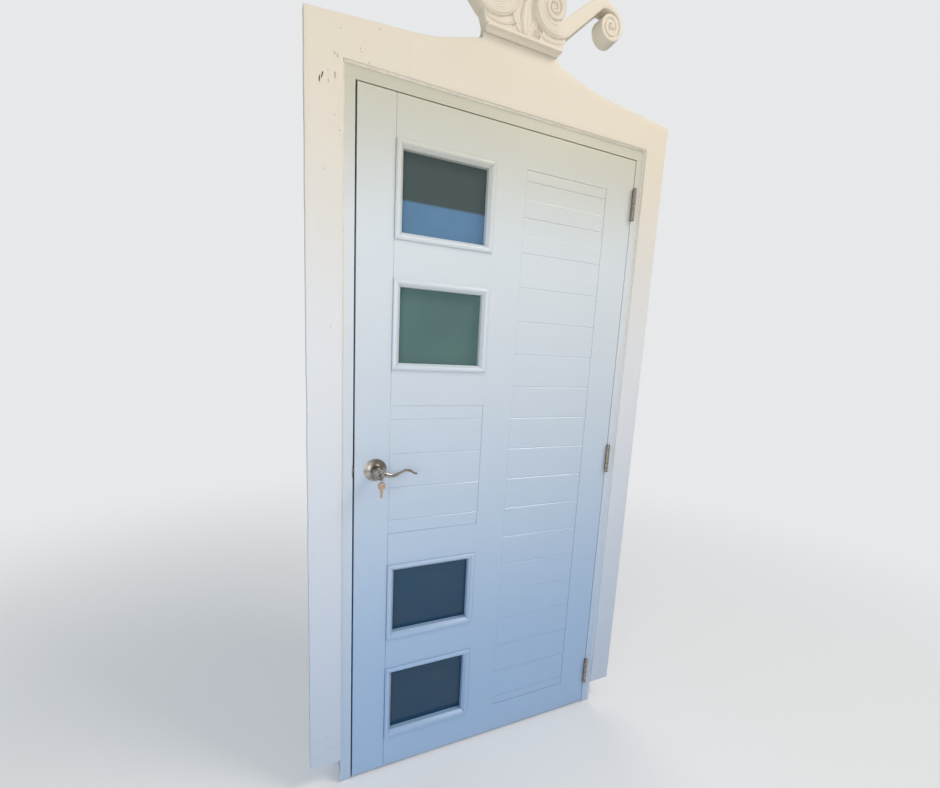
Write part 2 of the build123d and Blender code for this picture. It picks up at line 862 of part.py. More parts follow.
for number, window_top in enumerate(window_tops, start=1):
    window_z = window_top - window_height / 2
    with BuildPart() as outer_beads:
        with Locations(Location((window_x, 0, window_top))):
            add(level_strip)
        with Locations(Location((window_x, 0, window_top - window_height), (0, 180, 0))):
            add(level_strip)
        with Locations(Location((mullion_left, 0, window_z), (0, 90, 0))):
            add(upright_strip)
        with Locations(Location((lock_stile_edge, 0, window_z), (0, -90, 0))):
            add(upright_strip)
    save(outer_beads.part, f"outer_beads_{number}")
    with BuildPart() as inner_beads:
        mirror(outer_beads.part, about=Plane.XZ.offset(-mid_thickness))
    save(inner_beads.part, f"inner_beads_{number}")
    pane_half_width = window_width / 2 - glass_edge_clearance
    pane_half_height = window_height / 2 - glass_edge_clearance
    with BuildPart() as pane:
        with BuildSketch(Plane.XZ.offset(-glass_front - glass_thickness)):
            with Locations((window_x, window_z)):
                Rectangle(2 * pane_half_width, 2 * pane_half_height)
        extrude(amount=glass_thickness)
    save(pane.part, f"glass_pane_{number}")


# Hinges: two plates with interleaved knuckles on one pin
knuckle_pitch = hinge_height / knuckle_count


def knuckles(level, owner):
    """The knuckles of one plate, as cylinders on the pin's axis, with the odd ones for owner 1."""
    stack = []
    for i in range(owner, knuckle_count, 2):
        z = level - hinge_height / 2 + (i + 0.5) * knuckle_pitch
        stack.append(z)
    return stack


def hinge_plate(level, side):
    """One plate, on the leaf for -1 or on the jamb for +1, with its knuckles wrapped on."""
    face = leaf_right if side < 0 else opening_half
    hidden = face + side * hinge_plate_thickness
    owned = knuckles(level, 1 if side < 0 else 0)
    with BuildPart() as plate:
        z0 = level - hinge_height / 2
        z1 = level + hinge_height / 2
        add(block(face, hidden, hinge_y, hinge_plate_width, z0, z1))
        with Locations((hinge_x, hinge_y, level)):
            Cylinder(barrel_radius + knuckle_relief, hinge_height + 2, mode=Mode.SUBTRACT)
        for z in owned:
            half = (knuckle_pitch - knuckle_gap) / 2
            with Locations((hinge_x, hinge_y, z)):
                Cylinder(barrel_radius, 2 * half)
            add(block(face, hidden, hinge_y, 0, z - half, z + half))
        with Locations((hinge_x, hinge_y, level)):
            Cylinder(hinge_pin_radius + pin_clearance, hinge_height + 2, mode=Mode.SUBTRACT)
        places = [Location((face, y, level + offset), (0, -90 * side, 0)) for y, offset in screw_places]
        with Locations(*places):
            hole_radius = screw_radius + screw_clearance
            head_hole_radius = screw_head_radius + screw_clearance
            CounterSinkHole(hole_radius, head_hole_radius, hinge_plate_thickness * 2, countersink_angle)
    return plate.part


def wood_screw(place):
    """A countersunk screw whose flat head lies at the place's origin, pointing down its Z axis."""
    head_depth = (screw_head_radius - screw_radius) / tan(radians(countersink_angle / 2))
    with BuildPart() as screw:
        with BuildSketch(Plane.XZ):
            with BuildLine():
                Polyline(
                    (0, 0),
                    (screw_head_radius, 0),
                    (screw_radius, -head_depth),
                    (screw_radius, -screw_length + 2 * screw_radius),
                    (0, -screw_length),
                    close=True,
                )
            make_face()
        revolve(axis=Axis.Z)
    return screw.part.moved(place)


jamb_screws = []
leaf_screws = []
for name, level in hinge_levels.items():
    save(hinge_plate(level, -1), f"leaf_hinge_plate_{name}")
    save(hinge_plate(level, 1), f"jamb_hinge_plate_{name}")
    with BuildPart() as pin:
        with Locations((hinge_x, hinge_y, level)):
            Cylinder(hinge_pin_radius, hinge_height)
        for end in (-1, 1):
            with Locations((hinge_x, hinge_y, level + end * (hinge_height + pin_head_height) / 2)):
                Cylinder(pin_head_radius, pin_head_height)
        rims = pin.edges().filter_by(GeomType.CIRCLE).sort_by(Axis.Z)
        chamfer([rims[0], rims[-1]], pin_head_height / 3)
    save(pin.part, f"hinge_pin_{name}")
    for y, offset in screw_places:
        jamb_screws.append(wood_screw(Location((opening_half, y, level + offset), (0, -90, 0))))
        leaf_screws.append(wood_screw(Location((leaf_right, y, level + offset), (0, 90, 0))))


def screw_group(screws, name):
    """Write identical screws as separate solids of one node."""
    with BuildPart() as group:
        for screw in screws:
            add(screw)
    save(group.part, name)


# Strike plate: let into the jamb, with a lip that leads the bolt in from outside
with BuildPart() as strike_plate:
    with BuildSketch(Plane.YZ.offset(strike_back)) as outline:
        with Locations((latch_y, lever_z)):
            RectangleRounded(strike_width, strike_height, strike_corner_radius)
        with Locations((latch_y / 2 + 0.5, lever_z)):
            Rectangle(latch_y - 1, strike_lip_height)
        with Locations((latch_y, lever_z)):
            Rectangle(bolt_width + strike_hole_clearance, bolt_height + strike_hole_clearance, mode=Mode.SUBTRACT)
    extrude(amount=strike_thickness)
    for end in (-1, 1):
        z = lever_z + end * strike_screw_pitch / 2
        with Locations(Location((strike_face, latch_y, z), (0, 90, 0))):
            hole_radius = screw_radius + screw_clearance
            CounterSinkHole(hole_radius, screw_head_radius + screw_clearance, 8, countersink_angle)
save(strike_plate.part, "strike_plate")

for end in (-1, 1):
    z = lever_z + end * strike_screw_pitch / 2
    jamb_screws.append(wood_screw(Location((strike_face, latch_y, z), (0, 90, 0))))
    z = lever_z + end * faceplate_screw_pitch / 2
    leaf_screws.append(wood_screw(Location((leaf_left, latch_y, z), (0, -90, 0))))
screw_group(jamb_screws, "jamb_screws")
screw_group(leaf_screws, "leaf_screws")


# Latch: a tube in the leaf's edge, a face plate and a sprung bolt with a bevelled nose
with BuildPart() as latch_case:
    with Locations(Location((faceplate_back, latch_y, lever_z), (0, 90, 0))):
        Cylinder(latch_tube_radius, tube_end - faceplate_back, align=along)
        Cylinder(latch_tube_radius - latch_tube_wall, tube_end - faceplate_back, align=along, mode=Mode.SUBTRACT)
save(latch_case.part, "latch_case")

with BuildPart() as latch_faceplate:
    with BuildSketch(Plane.YZ.offset(leaf_left)):
        with Locations((latch_y, lever_z)):
            RectangleRounded(faceplate_width, faceplate_height, faceplate_corner_radius)
            Rectangle(bolt_width + 2 * bolt_clearance, bolt_height + 2 * bolt_clearance, mode=Mode.SUBTRACT)
    extrude(amount=faceplate_thickness)
    for end in (-1, 1):
        z = lever_z + end * faceplate_screw_pitch / 2
        with Locations(Location((leaf_left, latch_y, z), (0, -90, 0))):
            hole_radius = screw_radius + screw_clearance
            CounterSinkHole(hole_radius, screw_head_radius + screw_clearance, 8, countersink_angle)
save(latch_faceplate.part, "latch_faceplate")

bolt_nose = leaf_left - bolt_throw
with BuildPart() as latch_bolt:
    y0 = latch_y - bolt_width / 2
    y1 = latch_y + bolt_width / 2
    with BuildSketch(Plane.XY.offset(lever_z - bolt_height / 2)):
        with BuildLine():
            Polyline(
                (bolt_nose, y0),
                (leaf_left + bolt_tail, y0),
                (leaf_left + bolt_tail, y1),
                (bolt_nose + bolt_bevel, y1),
                (bolt_nose, y1 - bolt_bevel),
                close=True,
            )
        make_face()
    extrude(amount=bolt_height)
save(latch_bolt.part, "latch_bolt")


# Lock chassis: a drum in the cross bore, open where the latch enters it
lock_axis = Axis((lever_x, 0, lever_z), (0, 1, 0))
lock_plane = Plane((lever_x, 0, lever_z), x_dir=(1, 0, 0), z_dir=(0, 0, 1))
through = Location((lever_x, mid_thickness, lever_z), (90, 0, 0))
with BuildPart() as lock_chassis:
    with Locations(through):
        Cylinder(cross_bore_radius - chassis_clearance, leaf_thickness)
        Cylinder(spindle_size * 0.75, leaf_thickness + 2, mode=Mode.SUBTRACT)
    slot_half = latch_tube_radius + 1
    slot = (latch_y - slot_half, latch_y + slot_half, lever_z - slot_half, lever_z + slot_half)
    add(block(lever_x - cross_bore_radius - 1, lever_x - spindle_size, *slot), mode=Mode.SUBTRACT)
save(lock_chassis.part, "lock_chassis")


def rose():
    """A stepped and domed rose on the leaf's outer face, bored for the lever's neck."""
    bore = neck_radius + rose_hole_clearance
    rim = rose_radius - rose_step
    dome_top = -(rose_rim_height + rose_dome_height)
    with BuildPart() as turned:
        with BuildSketch(lock_plane):
            with BuildLine():
                flat = Line((bore, 0), (rose_radius, 0))
                rim_edge = Line(flat @ 1, (rose_radius, -rose_rim_height * 0.6))
                rim_top = Line(rim_edge @ 1, (rim, -rose_rim_height))
                dome = RadiusArc(rim_top @ 1, (rose_collar_radius, dome_top), -rose_radius)
                collar = Line(dome @ 1, (rose_collar_radius, dome_top - rose_collar_height))
                lip = Line(collar @ 1, (bore, dome_top - rose_collar_height))
                Line(lip @ 1, flat @ 0)
            make_face()
        revolve(axis=lock_axis)
    return turned.part


outer_rose = rose()
save(outer_rose, "outer_rose")
inner_plane = Plane.XZ.offset(-mid_thickness)
with BuildPart() as inner_rose:
    mirror(outer_rose, about=inner_plane)
save(inner_rose.part, "inner_rose")


# Levers: a turned neck and hub, with a waved handle lofted along X
hub_face = -(hub_start + hub_length)
handle_y = hub_face + handle_set_back


def lever():
    """The outer lever, with its handle towards the hinges."""
    with BuildPart() as handle:
        with BuildSketch(lock_plane):
            with BuildLine():
                front = Line((0, hub_face), (hub_radius - hub_edge_radius, hub_face))
                edge = RadiusArc(front @ 1, (hub_radius, hub_face + hub_edge_radius), -hub_edge_radius)
                barrel = Line(edge @ 1, (hub_radius, -hub_start - 4))
                shoulder_cut = Line(barrel @ 1, (neck_radius, -hub_start))
                neck_side = Line(shoulder_cut @ 1, (neck_radius, -neck_start))
                inner_end_face = Line(neck_side @ 1, (0, -neck_start))
                Line(inner_end_face @ 1, front @ 0)
            make_face()
        revolve(axis=lock_axis)
        stations = 12
        for i in range(stations):
            share = i / (stations - 1)
            reach = lever_reach * share
            narrowing = handle_tip_share + (1 - handle_tip_share) * exp(-handle_taper * share)
            if i == stations - 1:
                narrowing *= 0.45
            rise = -lever_wave * sin(2 * pi * (share / lever_wave_end) ** lever_wave_lag)
            with BuildSketch(Plane.YZ.offset(lever_x + reach)):
                with Locations((handle_y, lever_z + rise)):
                    Ellipse(handle_depth / 2 * narrowing, handle_height / 2 * narrowing)
        loft()
    return handle.part


lever_blank = lever()
spindle_hole = block(
    lever_x - (spindle_size + spindle_clearance) / 2,
    lever_x + (spindle_size + spindle_clearance) / 2,
    -neck_start - spindle_bury,
    0,
    lever_z - (spindle_size + spindle_clearance) / 2,
    lever_z + (spindle_size + spindle_clearance) / 2,
)
with BuildPart() as outer_lever:
    add(lever_blank)
    add(spindle_hole, mode=Mode.SUBTRACT)
    with Locations(Location((lever_x, hub_face, lever_z), (-90, 0, 0))):
        pocket_depth = cylinder_length - cylinder_proud
        Cylinder(cylinder_radius + cylinder_clearance, pocket_depth, align=along, mode=Mode.SUBTRACT)
save(outer_lever.part, "outer_lever")

with BuildPart() as lever_before_mirror:
    add(lever_blank)
    add(spindle_hole, mode=Mode.SUBTRACT)
    with Locations(Location((lever_x, hub_face, lever_z), (-90, 0, 0))):
        bore_radius = turn_button_radius + cylinder_clearance
        Cylinder(bore_radius, turn_button_length / 2, align=along, mode=Mode.SUBTRACT)
with BuildPart() as inner_lever:
    mirror(lever_before_mirror.part, about=inner_plane)
save(inner_lever.part, "inner_lever")

spindle_end = -neck_start - spindle_bury + 0.5
save(
    block(
        lever_x - spindle_size / 2,
        lever_x + spindle_size / 2,
        spindle_end,
        leaf_thickness - spindle_end,
        lever_z - spindle_size / 2,
        lever_z + spindle_size / 2,
    ),
    "spindle",
)

with BuildPart() as turn_button:
    with Locations(Location((lever_x, leaf_thickness - hub_face - turn_button_length / 2, lever_z), (-90, 0, 0))):
        Cylinder(turn_button_radius, turn_button_length, align=along)
    grip_start = leaf_thickness - hub_face + 1.5
    reach = turn_button_radius + 1
    for side in (-1, 1):
        x0 = lever_x + side * turn_button_grip / 2
        x1 = lever_x + side * reach
        y1 = leaf_thickness - hub_face + turn_button_length
        add(block(min(x0, x1), max(x0, x1), grip_start, y1, lever_z - reach, lever_z + reach), mode=Mode.SUBTRACT)
save(turn_button.part, "turn_button")


# Lock cylinder, with a keyed plug that turns in it
cylinder_face = hub_face - cylinder_proud
plug_face = cylinder_face - plug_proud
with BuildPart() as lock_cylinder:
    with Locations(Location((lever_x, cylinder_face, lever_z), (-90, 0, 0))):
        Cylinder(cylinder_radius, cylinder_length, align=along)
        plug_bore = plug_radius + cylinder_clearance
        Cylinder(plug_bore, cylinder_length - plug_bottom, align=along, mode=Mode.SUBTRACT)
save(lock_cylinder.part, "lock_cylinder")

with BuildPart() as key_plug:
    with Locations(Location((lever_x, plug_face, lever_z), (-90, 0, 0))):
        plug_length = cylinder_length - plug_bottom + plug_proud - cylinder_clearance
        Cylinder(plug_radius, plug_length, align=along)
    slot_x = key_thickness / 2 + key_slot_clearance
    slot_z = key_blade_height / 2 + key_slot_clearance
    slot_y = plug_face + key_blade_length + 0.5
    add(
        block(lever_x - slot_x, lever_x + slot_x, plug_face - 1, slot_y, lever_z - slot_z, lever_z + slot_z),
        mode=Mode.SUBTRACT,
    )
save(key_plug.part, "key_plug")


def key(plane):
    """A key on a plane, blade along its X from the shoulder, bow the other way."""
    with BuildPart() as blank:
        with BuildSketch(plane) as outline:
            Rectangle(key_blade_length, key_blade_height, align=(Align.MIN, Align.CENTER))
            Rectangle(key_neck_length, key_blade_height + 2, align=(Align.MAX, Align.CENTER))
            with Locations((-key_neck_length - key_bow_length / 2, 0)):
                RectangleRounded(key_bow_length, key_bow_height, key_bow_corner)
            with Locations((key_hole_inset - key_neck_length - key_bow_length, 0)):
                Circle(key_hole_radius, mode=Mode.SUBTRACT)
            for i in range(key_cut_count):
                x = (i + 0.9) * key_blade_length / (key_cut_count + 0.8)
                top = key_blade_height / 2
                depth = key_cut_depth * (0.6 + 0.4 * (i % 2))
                with BuildLine():
                    Polyline((x - depth, top + 0.01), (x, top - depth), (x + depth, top + 0.01), close=True)
                make_face(mode=Mode.SUBTRACT)
        extrude(amount=key_thickness / 2, both=True)
    return blank.part


bow_hole = key_neck_length + key_bow_length - key_hole_inset
key_plane = Plane((lever_x, plug_face - 0.3, lever_z), x_dir=(0, 1, 0), z_dir=(1, 0, 0))
save(key(key_plane), "key_in_plug")

# Key ring and spare key, hanging from the bow
hang_y = plug_face - 0.3 - bow_hole
wire_drop = key_hole_radius - ring_wire_radius - 0.7
ring_z = lever_z - wire_drop - ring_radius
with BuildPart() as key_ring:
    ring_plane = Plane((lever_x, hang_y, ring_z), x_dir=(0, 0, 1), z_dir=(1, -1, 0))
    with BuildSketch(Plane(ring_plane.from_local_coords((ring_radius, 0, 0)), x_dir=(0, 0, 1), z_dir=(1, 1, 0))):
        Circle(ring_wire_radius)
    revolve(axis=Axis((lever_x, hang_y, ring_z), (1, -1, 0)))
save(key_ring.part, "key_ring")

spare_hole_z = ring_z - ring_radius - wire_drop
spare_plane = Plane((lever_x, hang_y, spare_hole_z - bow_hole), x_dir=(0, 0, -1), z_dir=(0, -1, 0))
save(key(spare_plane), "spare_key")
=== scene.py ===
import json
from math import atan2, cos, exp, pi, radians, sin

import bmesh
import bpy
from mathutils import Matrix, Vector, noise
from mathutils.geometry import delaunay_2d_cdt


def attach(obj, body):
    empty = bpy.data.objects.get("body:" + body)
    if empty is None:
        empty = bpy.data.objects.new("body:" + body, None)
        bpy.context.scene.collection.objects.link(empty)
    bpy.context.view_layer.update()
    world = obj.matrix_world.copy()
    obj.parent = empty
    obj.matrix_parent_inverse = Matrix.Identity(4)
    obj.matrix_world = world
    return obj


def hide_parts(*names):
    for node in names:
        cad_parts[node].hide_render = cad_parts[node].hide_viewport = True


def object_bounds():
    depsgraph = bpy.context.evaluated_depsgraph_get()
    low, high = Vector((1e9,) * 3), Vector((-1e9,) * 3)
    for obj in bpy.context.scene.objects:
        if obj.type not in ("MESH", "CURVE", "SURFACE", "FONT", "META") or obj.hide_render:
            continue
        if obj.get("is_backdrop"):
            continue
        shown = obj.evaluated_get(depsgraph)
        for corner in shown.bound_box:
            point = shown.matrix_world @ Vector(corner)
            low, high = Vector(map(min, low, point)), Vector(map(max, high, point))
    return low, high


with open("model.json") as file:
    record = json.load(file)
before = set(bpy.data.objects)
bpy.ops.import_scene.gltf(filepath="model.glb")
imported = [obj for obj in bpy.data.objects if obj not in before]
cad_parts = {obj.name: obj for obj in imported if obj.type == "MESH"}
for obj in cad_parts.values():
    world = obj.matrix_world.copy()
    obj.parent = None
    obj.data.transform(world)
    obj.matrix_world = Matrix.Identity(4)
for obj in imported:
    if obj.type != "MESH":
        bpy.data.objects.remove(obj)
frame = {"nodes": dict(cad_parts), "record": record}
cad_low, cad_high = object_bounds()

# Camera, lamps and floor. The camera stands outside the door, left of its middle at eye height,
# with a very short lens. Three lamps are broad and soft: a warm one high up, a cool one low down
# and one behind the door. The floor is a plain pale one that fades into the backdrop.
scene = bpy.context.scene
scene.view_settings.view_transform = "Standard"


def put(name, data):
    """A new object in the scene."""
    made = bpy.data.objects.new(name, data)
    scene.collection.objects.link(made)
    return made


camera_data = bpy.data.cameras.new("view")
camera_data.sensor_width = 36.0
camera_data.lens = 17.42
camera_data.shift_x = -4 / 940
camera_data.shift_y = 34 / 940
camera_data.clip_end = 200.0
camera = put("view", camera_data)
look = Matrix(((0.9099, 0.0227, -0.4142), (-0.4115, 0.1741, -0.8946), (0.0518, 0.9845, 0.1678)))
stand = Matrix.Translation((-0.6819, -1.2893, 1.3896))
camera.matrix_world = stand @ look.to_quaternion().to_matrix().to_4x4()
scene.camera = camera


def lamp(name, place, target, size, power, colour):
    """A broad soft lamp that faces its target."""
    data = bpy.data.lights.new(name, "AREA")
    data.shape = "RECTANGLE"
    data.size, data.size_y = size
    data.energy = power
    data.color = colour
    made = put(name, data)
    aim = (Vector(target) - Vector(place)).to_track_quat("-Z", "Y")
    made.matrix_world = Matrix.Translation(place) @ aim.to_matrix().to_4x4()


lamp("high_lamp", (2.2, -1.9, 4.3), (0.0, 0.0, 1.8), (1.8, 1.2), 84.0, (1.0, 0.91, 0.80))
lamp("low_lamp", (-1.9, -2.6, 1.5), (0.0, 0.0, 1.2), (2.0, 1.4), 42.0, (0.96, 0.97, 1.0))
lamp("back_lamp", (1.5, 4.5, 3.5), (0.0, 0.0, 1.2), (3.6, 2.4), 60.0, (1.0, 0.98, 0.95))


def node(tree, kind, inputs=None, **settings):
    """Adds one shader node, with its settings and its inputs, which may be links."""
    made = tree.nodes.new(kind)
    for key, value in settings.items():
        setattr(made, key, value)
    for socket, value in (inputs or {}).items():
        if isinstance(value, bpy.types.NodeSocket):
            tree.links.new(value, made.inputs[socket])
        else:
            made.inputs[socket].default_value = value
    return made


def linked(tree, kind, output, inputs=None, **settings):
    """The same, but gives the output that the next node needs."""
    return node(tree, kind, inputs, **settings).outputs[output]


world = bpy.data.worlds.new("soft_room")
scene.world = world
world.use_nodes = True
tree = world.node_tree
tree.nodes.clear()
path = node(tree, "ShaderNodeLightPath")
rays = {0: path.outputs["Is Camera Ray"], 1: path.outputs["Is Transmission Ray"]}
seen = linked(tree, "ShaderNodeMath", 0, rays, operation="MAXIMUM")
way = linked(tree, "ShaderNodeTexCoord", "Generated")
upward = linked(tree, "ShaderNodeSeparateXYZ", "Z", {0: way})
inputs = {"Value": upward, "From Min": -0.35, "From Max": 0.75, "To Min": 0.27, "To Max": 0.49}
brightness = linked(tree, "ShaderNodeMapRange", 0, inputs, interpolation_type="SMOOTHSTEP")
room = node(tree, "ShaderNodeBackground", {"Color": (0.84, 0.92, 1.0, 1.0), "Strength": brightness})
backdrop_colour = (0.80, 0.81, 0.82, 1.0)
backdrop = node(tree, "ShaderNodeBackground", {"Color": backdrop_colour, "Strength": 1.0})
sky = node(tree, "ShaderNodeMixShader", {0: seen, 1: room.outputs[0], 2: backdrop.outputs[0]})
node(tree, "ShaderNodeOutputWorld", {"Surface": sky.outputs[0]})


def new_material(name):
    """An empty node material and its tree."""
    made = bpy.data.materials.new(name)
    made.use_nodes = True
    made.node_tree.nodes.clear()
    return made, made.node_tree


def surface(tree, **inputs):
    """The shader and the output of a material, with sockets named with underscores for blanks."""
    shader = node(tree, "ShaderNodeBsdfPrincipled", {k.replace("_", " "): v for k, v in inputs.items()})
    node(tree, "ShaderNodeOutputMaterial", {"Surface": shader.outputs[0]})
    return shader


def object_place(tree, scale=(1.0, 1.0, 1.0), turn=(0.0, 0.0, 0.0)):
    """Object coordinates, stretched or turned by a Mapping node."""
    place = linked(tree, "ShaderNodeTexCoord", "Object")
    return linked(tree, "ShaderNodeMapping", 0, {"Vector": place, "Scale": scale, "Rotation": turn})


def grain(tree, place, scale, detail=4.0, roughness=0.55):
    """Fractal noise, 0 to 1."""
    inputs = {"Vector": place, "Scale": scale, "Detail": detail, "Roughness": roughness}
    return linked(tree, "ShaderNodeTexNoise", 0, inputs)


def ramp(tree, value, low, high, first=0.0, last=1.0):
    """A smooth step from first to last while the value goes from low to high."""
    inputs = {"Value": value, "From Min": low, "From Max": high, "To Min": first, "To Max": last}
    return linked(tree, "ShaderNodeMapRange", 0, inputs, interpolation_type="SMOOTHSTEP")


def times(tree, a, b, operation="MULTIPLY"):
    """One Math node on two values."""
    return linked(tree, "ShaderNodeMath", 0, {0: a, 1: b}, operation=operation)


def blend(tree, factor, a, b, kind="MIX"):
    """A mix of two colours."""
    return linked(tree, "ShaderNodeMix", 2, {0: factor, 6: a, 7: b}, data_type="RGBA", blend_type=kind)


def stain(tree, tone, where, strength, colour):
    """A tone with a second colour over it in part, where a mask is above 0."""
    return blend(tree, times(tree, where, strength), tone, colour)


def height_up(tree):
    """The height above the floor."""
    return linked(tree, "ShaderNodeSeparateXYZ", "Z", {0: linked(tree, "ShaderNodeTexCoord", "Object")})


def relief(tree, height, distance, strength=1.0, under=None):
    """A bump from a height, over another bump if one is given."""
    inputs = {"Height": height, "Distance": distance, "Strength": strength}
    if under is not None:
        inputs["Normal"] = under
    return linked(tree, "ShaderNodeBump", 0, inputs)


floor_material, tree = new_material("pale_floor")
place = object_place(tree)
matt = node(tree, "ShaderNodeBsdfDiffuse", {"Color": (0.86, 0.86, 0.86, 1)})
away = linked(tree, "ShaderNodeVectorMath", "Value", {0: place}, operation="LENGTH")
far = times(tree, ramp(tree, away, 0.9, 4.0), node(tree, "ShaderNodeLightPath").outputs["Is Camera Ray"])
glow = node(tree, "ShaderNodeEmission", {"Color": backdrop_colour, "Strength": 1.0})
faded = node(tree, "ShaderNodeMixShader", {0: far, 1: matt.outputs[0], 2: glow.outputs[0]})
node(tree, "ShaderNodeOutputMaterial", {"Surface": faded.outputs[0]})
floor_mesh = bpy.data.meshes.new("floor")
far_out = 30
corners = [(-far_out, -far_out, 0), (far_out, -far_out, 0), (far_out, far_out, 0), (-far_out, far_out, 0)]
floor_mesh.from_pydata(corners, [], [(0, 1, 2, 3)])
floor_mesh.materials.append(floor_material)
floor = put("floor", floor_mesh)
floor.location.z = -0.0004
floor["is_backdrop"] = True

# Jamb frame: two legs and a head of planed softwood, rebated for the leaf, painted glossy white
# in place. The edges are sanded before painting, the head is let over the legs, and the paint
# shows a little brushing and dust.
nodes = frame["nodes"]
body_of = {n: b for b, members in frame["record"]["behaviour"]["bodies"].items() for n in members}
same_point = 2e-6


def baked(mesh, name, prepare):
    """A plain mesh with the modifiers that prepare() adds applied to it."""
    maker = put(name, mesh)
    prepare(maker)
    bpy.context.view_layer.update()
    held = maker.evaluated_get(bpy.context.evaluated_depsgraph_get())
    result = bpy.data.meshes.new_from_object(held)
    bpy.data.objects.remove(maker)
    result.name = name
    return result


def only_material(mesh, material):
    """Gives a mesh one material, in place of any that it has."""
    mesh.materials.clear()
    mesh.materials.append(material)


def add_piece(name, mesh, material, body, replaced=()):
    """Puts a finished mesh in the scene on its body, in place of the nodes it stands for."""
    only_material(mesh, material)
    piece = put(name, mesh)
    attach(piece, body)
    if replaced:
        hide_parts(*replaced)


def as_mesh(shape, name):
    """The mesh of a shape that is done with."""
    mesh = bpy.data.meshes.new(name)
    shape.to_mesh(mesh)
    shape.free()
    return mesh


def merged_copy(node_name):
    """A CAD node's mesh with its loose triangles joined and its flat faces made whole."""
    shape = bmesh.new()
    shape.from_mesh(nodes[node_name].data)
    bmesh.ops.remove_doubles(shape, verts=shape.verts, dist=same_point)
    bmesh.ops.dissolve_limit(shape, angle_limit=radians(0.6), verts=shape.verts, edges=shape.edges)
    return as_mesh(shape, node_name)


def eased(node_name, material, width, segments=2, angle=35.0, change=None):
    """A CAD node with its edges rubbed round, in place of the node. Its points may be moved first."""

    def ease(maker):
        bevel = maker.modifiers.new("edges", "BEVEL")
        bevel.width = width
        bevel.segments = segments
        bevel.limit_method = "ANGLE"
        bevel.angle_limit = radians(angle)
        bevel.use_clamp_overlap = True
        evened = maker.modifiers.new("flats", "WEIGHTED_NORMAL")
        evened.mode = "FACE_AREA"
        evened.weight = 90

    source = merged_copy(node_name)
    if change:
        for vertex in source.vertices:
            vertex.co = change(vertex.co)
    source.polygons.foreach_set("use_smooth", [True] * len(source.polygons))
    name = node_name + "_finished"
    add_piece(name, baked(source, name, ease), material, body_of[node_name], [node_name])


def gloss_paint(name, colour, shade, cool, cool_below, warm, roughness, brush):
    """Glossy white paint with orange peel, brush lines, dust and a soiled foot. It turns blue from the middle
    down and warm near the top, which is painted cool light from below and painted warm light from above, and
    it has its own colour between.
    """
    material, tree = new_material(name)
    place = object_place(tree)
    broad = ramp(tree, grain(tree, place, 1.7, 3.0), 0.3, 0.7)
    tone = blend(tree, broad, colour, shade)
    height = height_up(tree)
    # Blue from the middle down and warm at the top: painted cool light from below and painted warm light from
    # above.
    tone = blend(tree, ramp(tree, height, cool_below, 1.75), cool, tone)
    tone = blend(tree, ramp(tree, height, 1.65, 2.10), tone, warm)
    dust = ramp(tree, grain(tree, place, 90.0, 5.0, 0.65), 0.66, 0.76)
    tone = stain(tree, tone, dust, 0.10, (0.40, 0.38, 0.34, 1))
    blots = ramp(tree, grain(tree, place, 60.0, 5.0, 0.65), 0.40, 0.70)
    foot = times(tree, ramp(tree, height, 0.05, 0.0), blots)
    tone = stain(tree, tone, foot, 0.10, (0.36, 0.34, 0.30, 1))
    peel = grain(tree, place, 420.0, 2.0)
    bump = relief(tree, peel, 0.00004, 0.25)
    strokes = grain(tree, object_place(tree, (260.0, 260.0, 3.0)), 1.0, 3.0)
    bump = relief(tree, strokes, 0.00005, brush, bump)
    surface(tree, Base_Color=tone, Roughness=roughness, Normal=bump, Coat_Weight=0.12, Coat_Roughness=0.14,
            Specular_IOR_Level=0.5)
    return material


# The frame's blue lower part and warm top are painted light, cool from below and warm from above.
frame_paint = gloss_paint("frame_paint", colour=(0.71, 0.735, 0.745, 1), shade=(0.695, 0.72, 0.73, 1),
                          cool=(0.37, 0.485, 0.65, 1), cool_below=0.0, warm=(0.58, 0.55, 0.43, 1),
                          roughness=0.30, brush=0.40)
for name in ("jamb_lock_side", "jamb_hinge_side", "head_jamb"):
    eased(name, frame_paint, 0.0006)

# Sealant: a bead of acrylic along the frame's edge, smoothed with a finger and painted over with
# the surround's cream paint.
sealant_paint, tree = new_material("sealant_paint")
place = object_place(tree)
mottle = ramp(tree, grain(tree, place, 60.0), 0.4, 0.65)
upper = blend(tree, mottle, (0.86, 0.78, 0.66, 1), (0.78, 0.70, 0.58, 1))
# Blue low down and cream higher up: the blue is painted cool light from below.
tone = blend(tree, ramp(tree, height_up(tree), 0.3, 1.8), (0.56, 0.62, 0.70, 1), upper)
surface(tree, Base_Color=tone, Roughness=0.5, Normal=relief(tree, grain(tree, place, 150.0), 0.0004, 0.5))
only_material(nodes["sealant_bead"].data, sealant_paint)

# Plaster surround: two flat legs under a pediment that sweeps up to a short neck. It is sand and cement
# plaster run by hand against a straightedge, so its edges waver a little, and it is painted cream with a
# roller. Its colour also carries painted light: warmer at the top and blue low down.
surround_front = -0.008
surround_back = 0.017
surround_round = 0.0026


def arc_to(start, heading, end, count):
    """Points of the arc that leaves start along heading and ends at end."""
    chord = Vector(end) - Vector(start)
    side = Vector((-heading[1], heading[0])).normalized()
    radius = chord.length_squared / (2 * chord.dot(side))
    centre = Vector(start) + side * radius
    first, last = (atan2(*(Vector(p) - centre).yx) for p in (start, end))
    swing = (last - first + pi) % (2 * pi) - pi
    turned = (first + swing * i / count for i in range(count + 1))
    return [centre + abs(radius) * Vector((cos(a), sin(a))) for a in turned]


def dense(corners, step):
    """A closed outline with points at most a step apart."""
    points = []
    for i, start in enumerate(corners):
        run = Vector(corners[(i + 1) % len(corners)]) - Vector(start)
        pieces = max(1, round(run.length / step))
        points += [Vector(start) + run * j / pieces for j in range(pieces)]
    return points


def outward(points):
    """The outward direction at each point of a closed counterclockwise outline."""
    result = []
    for i, point in enumerate(points):
        along = (points[(i + 1) % len(points)] - points[i - 1]).normalized()
        result.append(Vector((along.y, -along.x)))
    return result


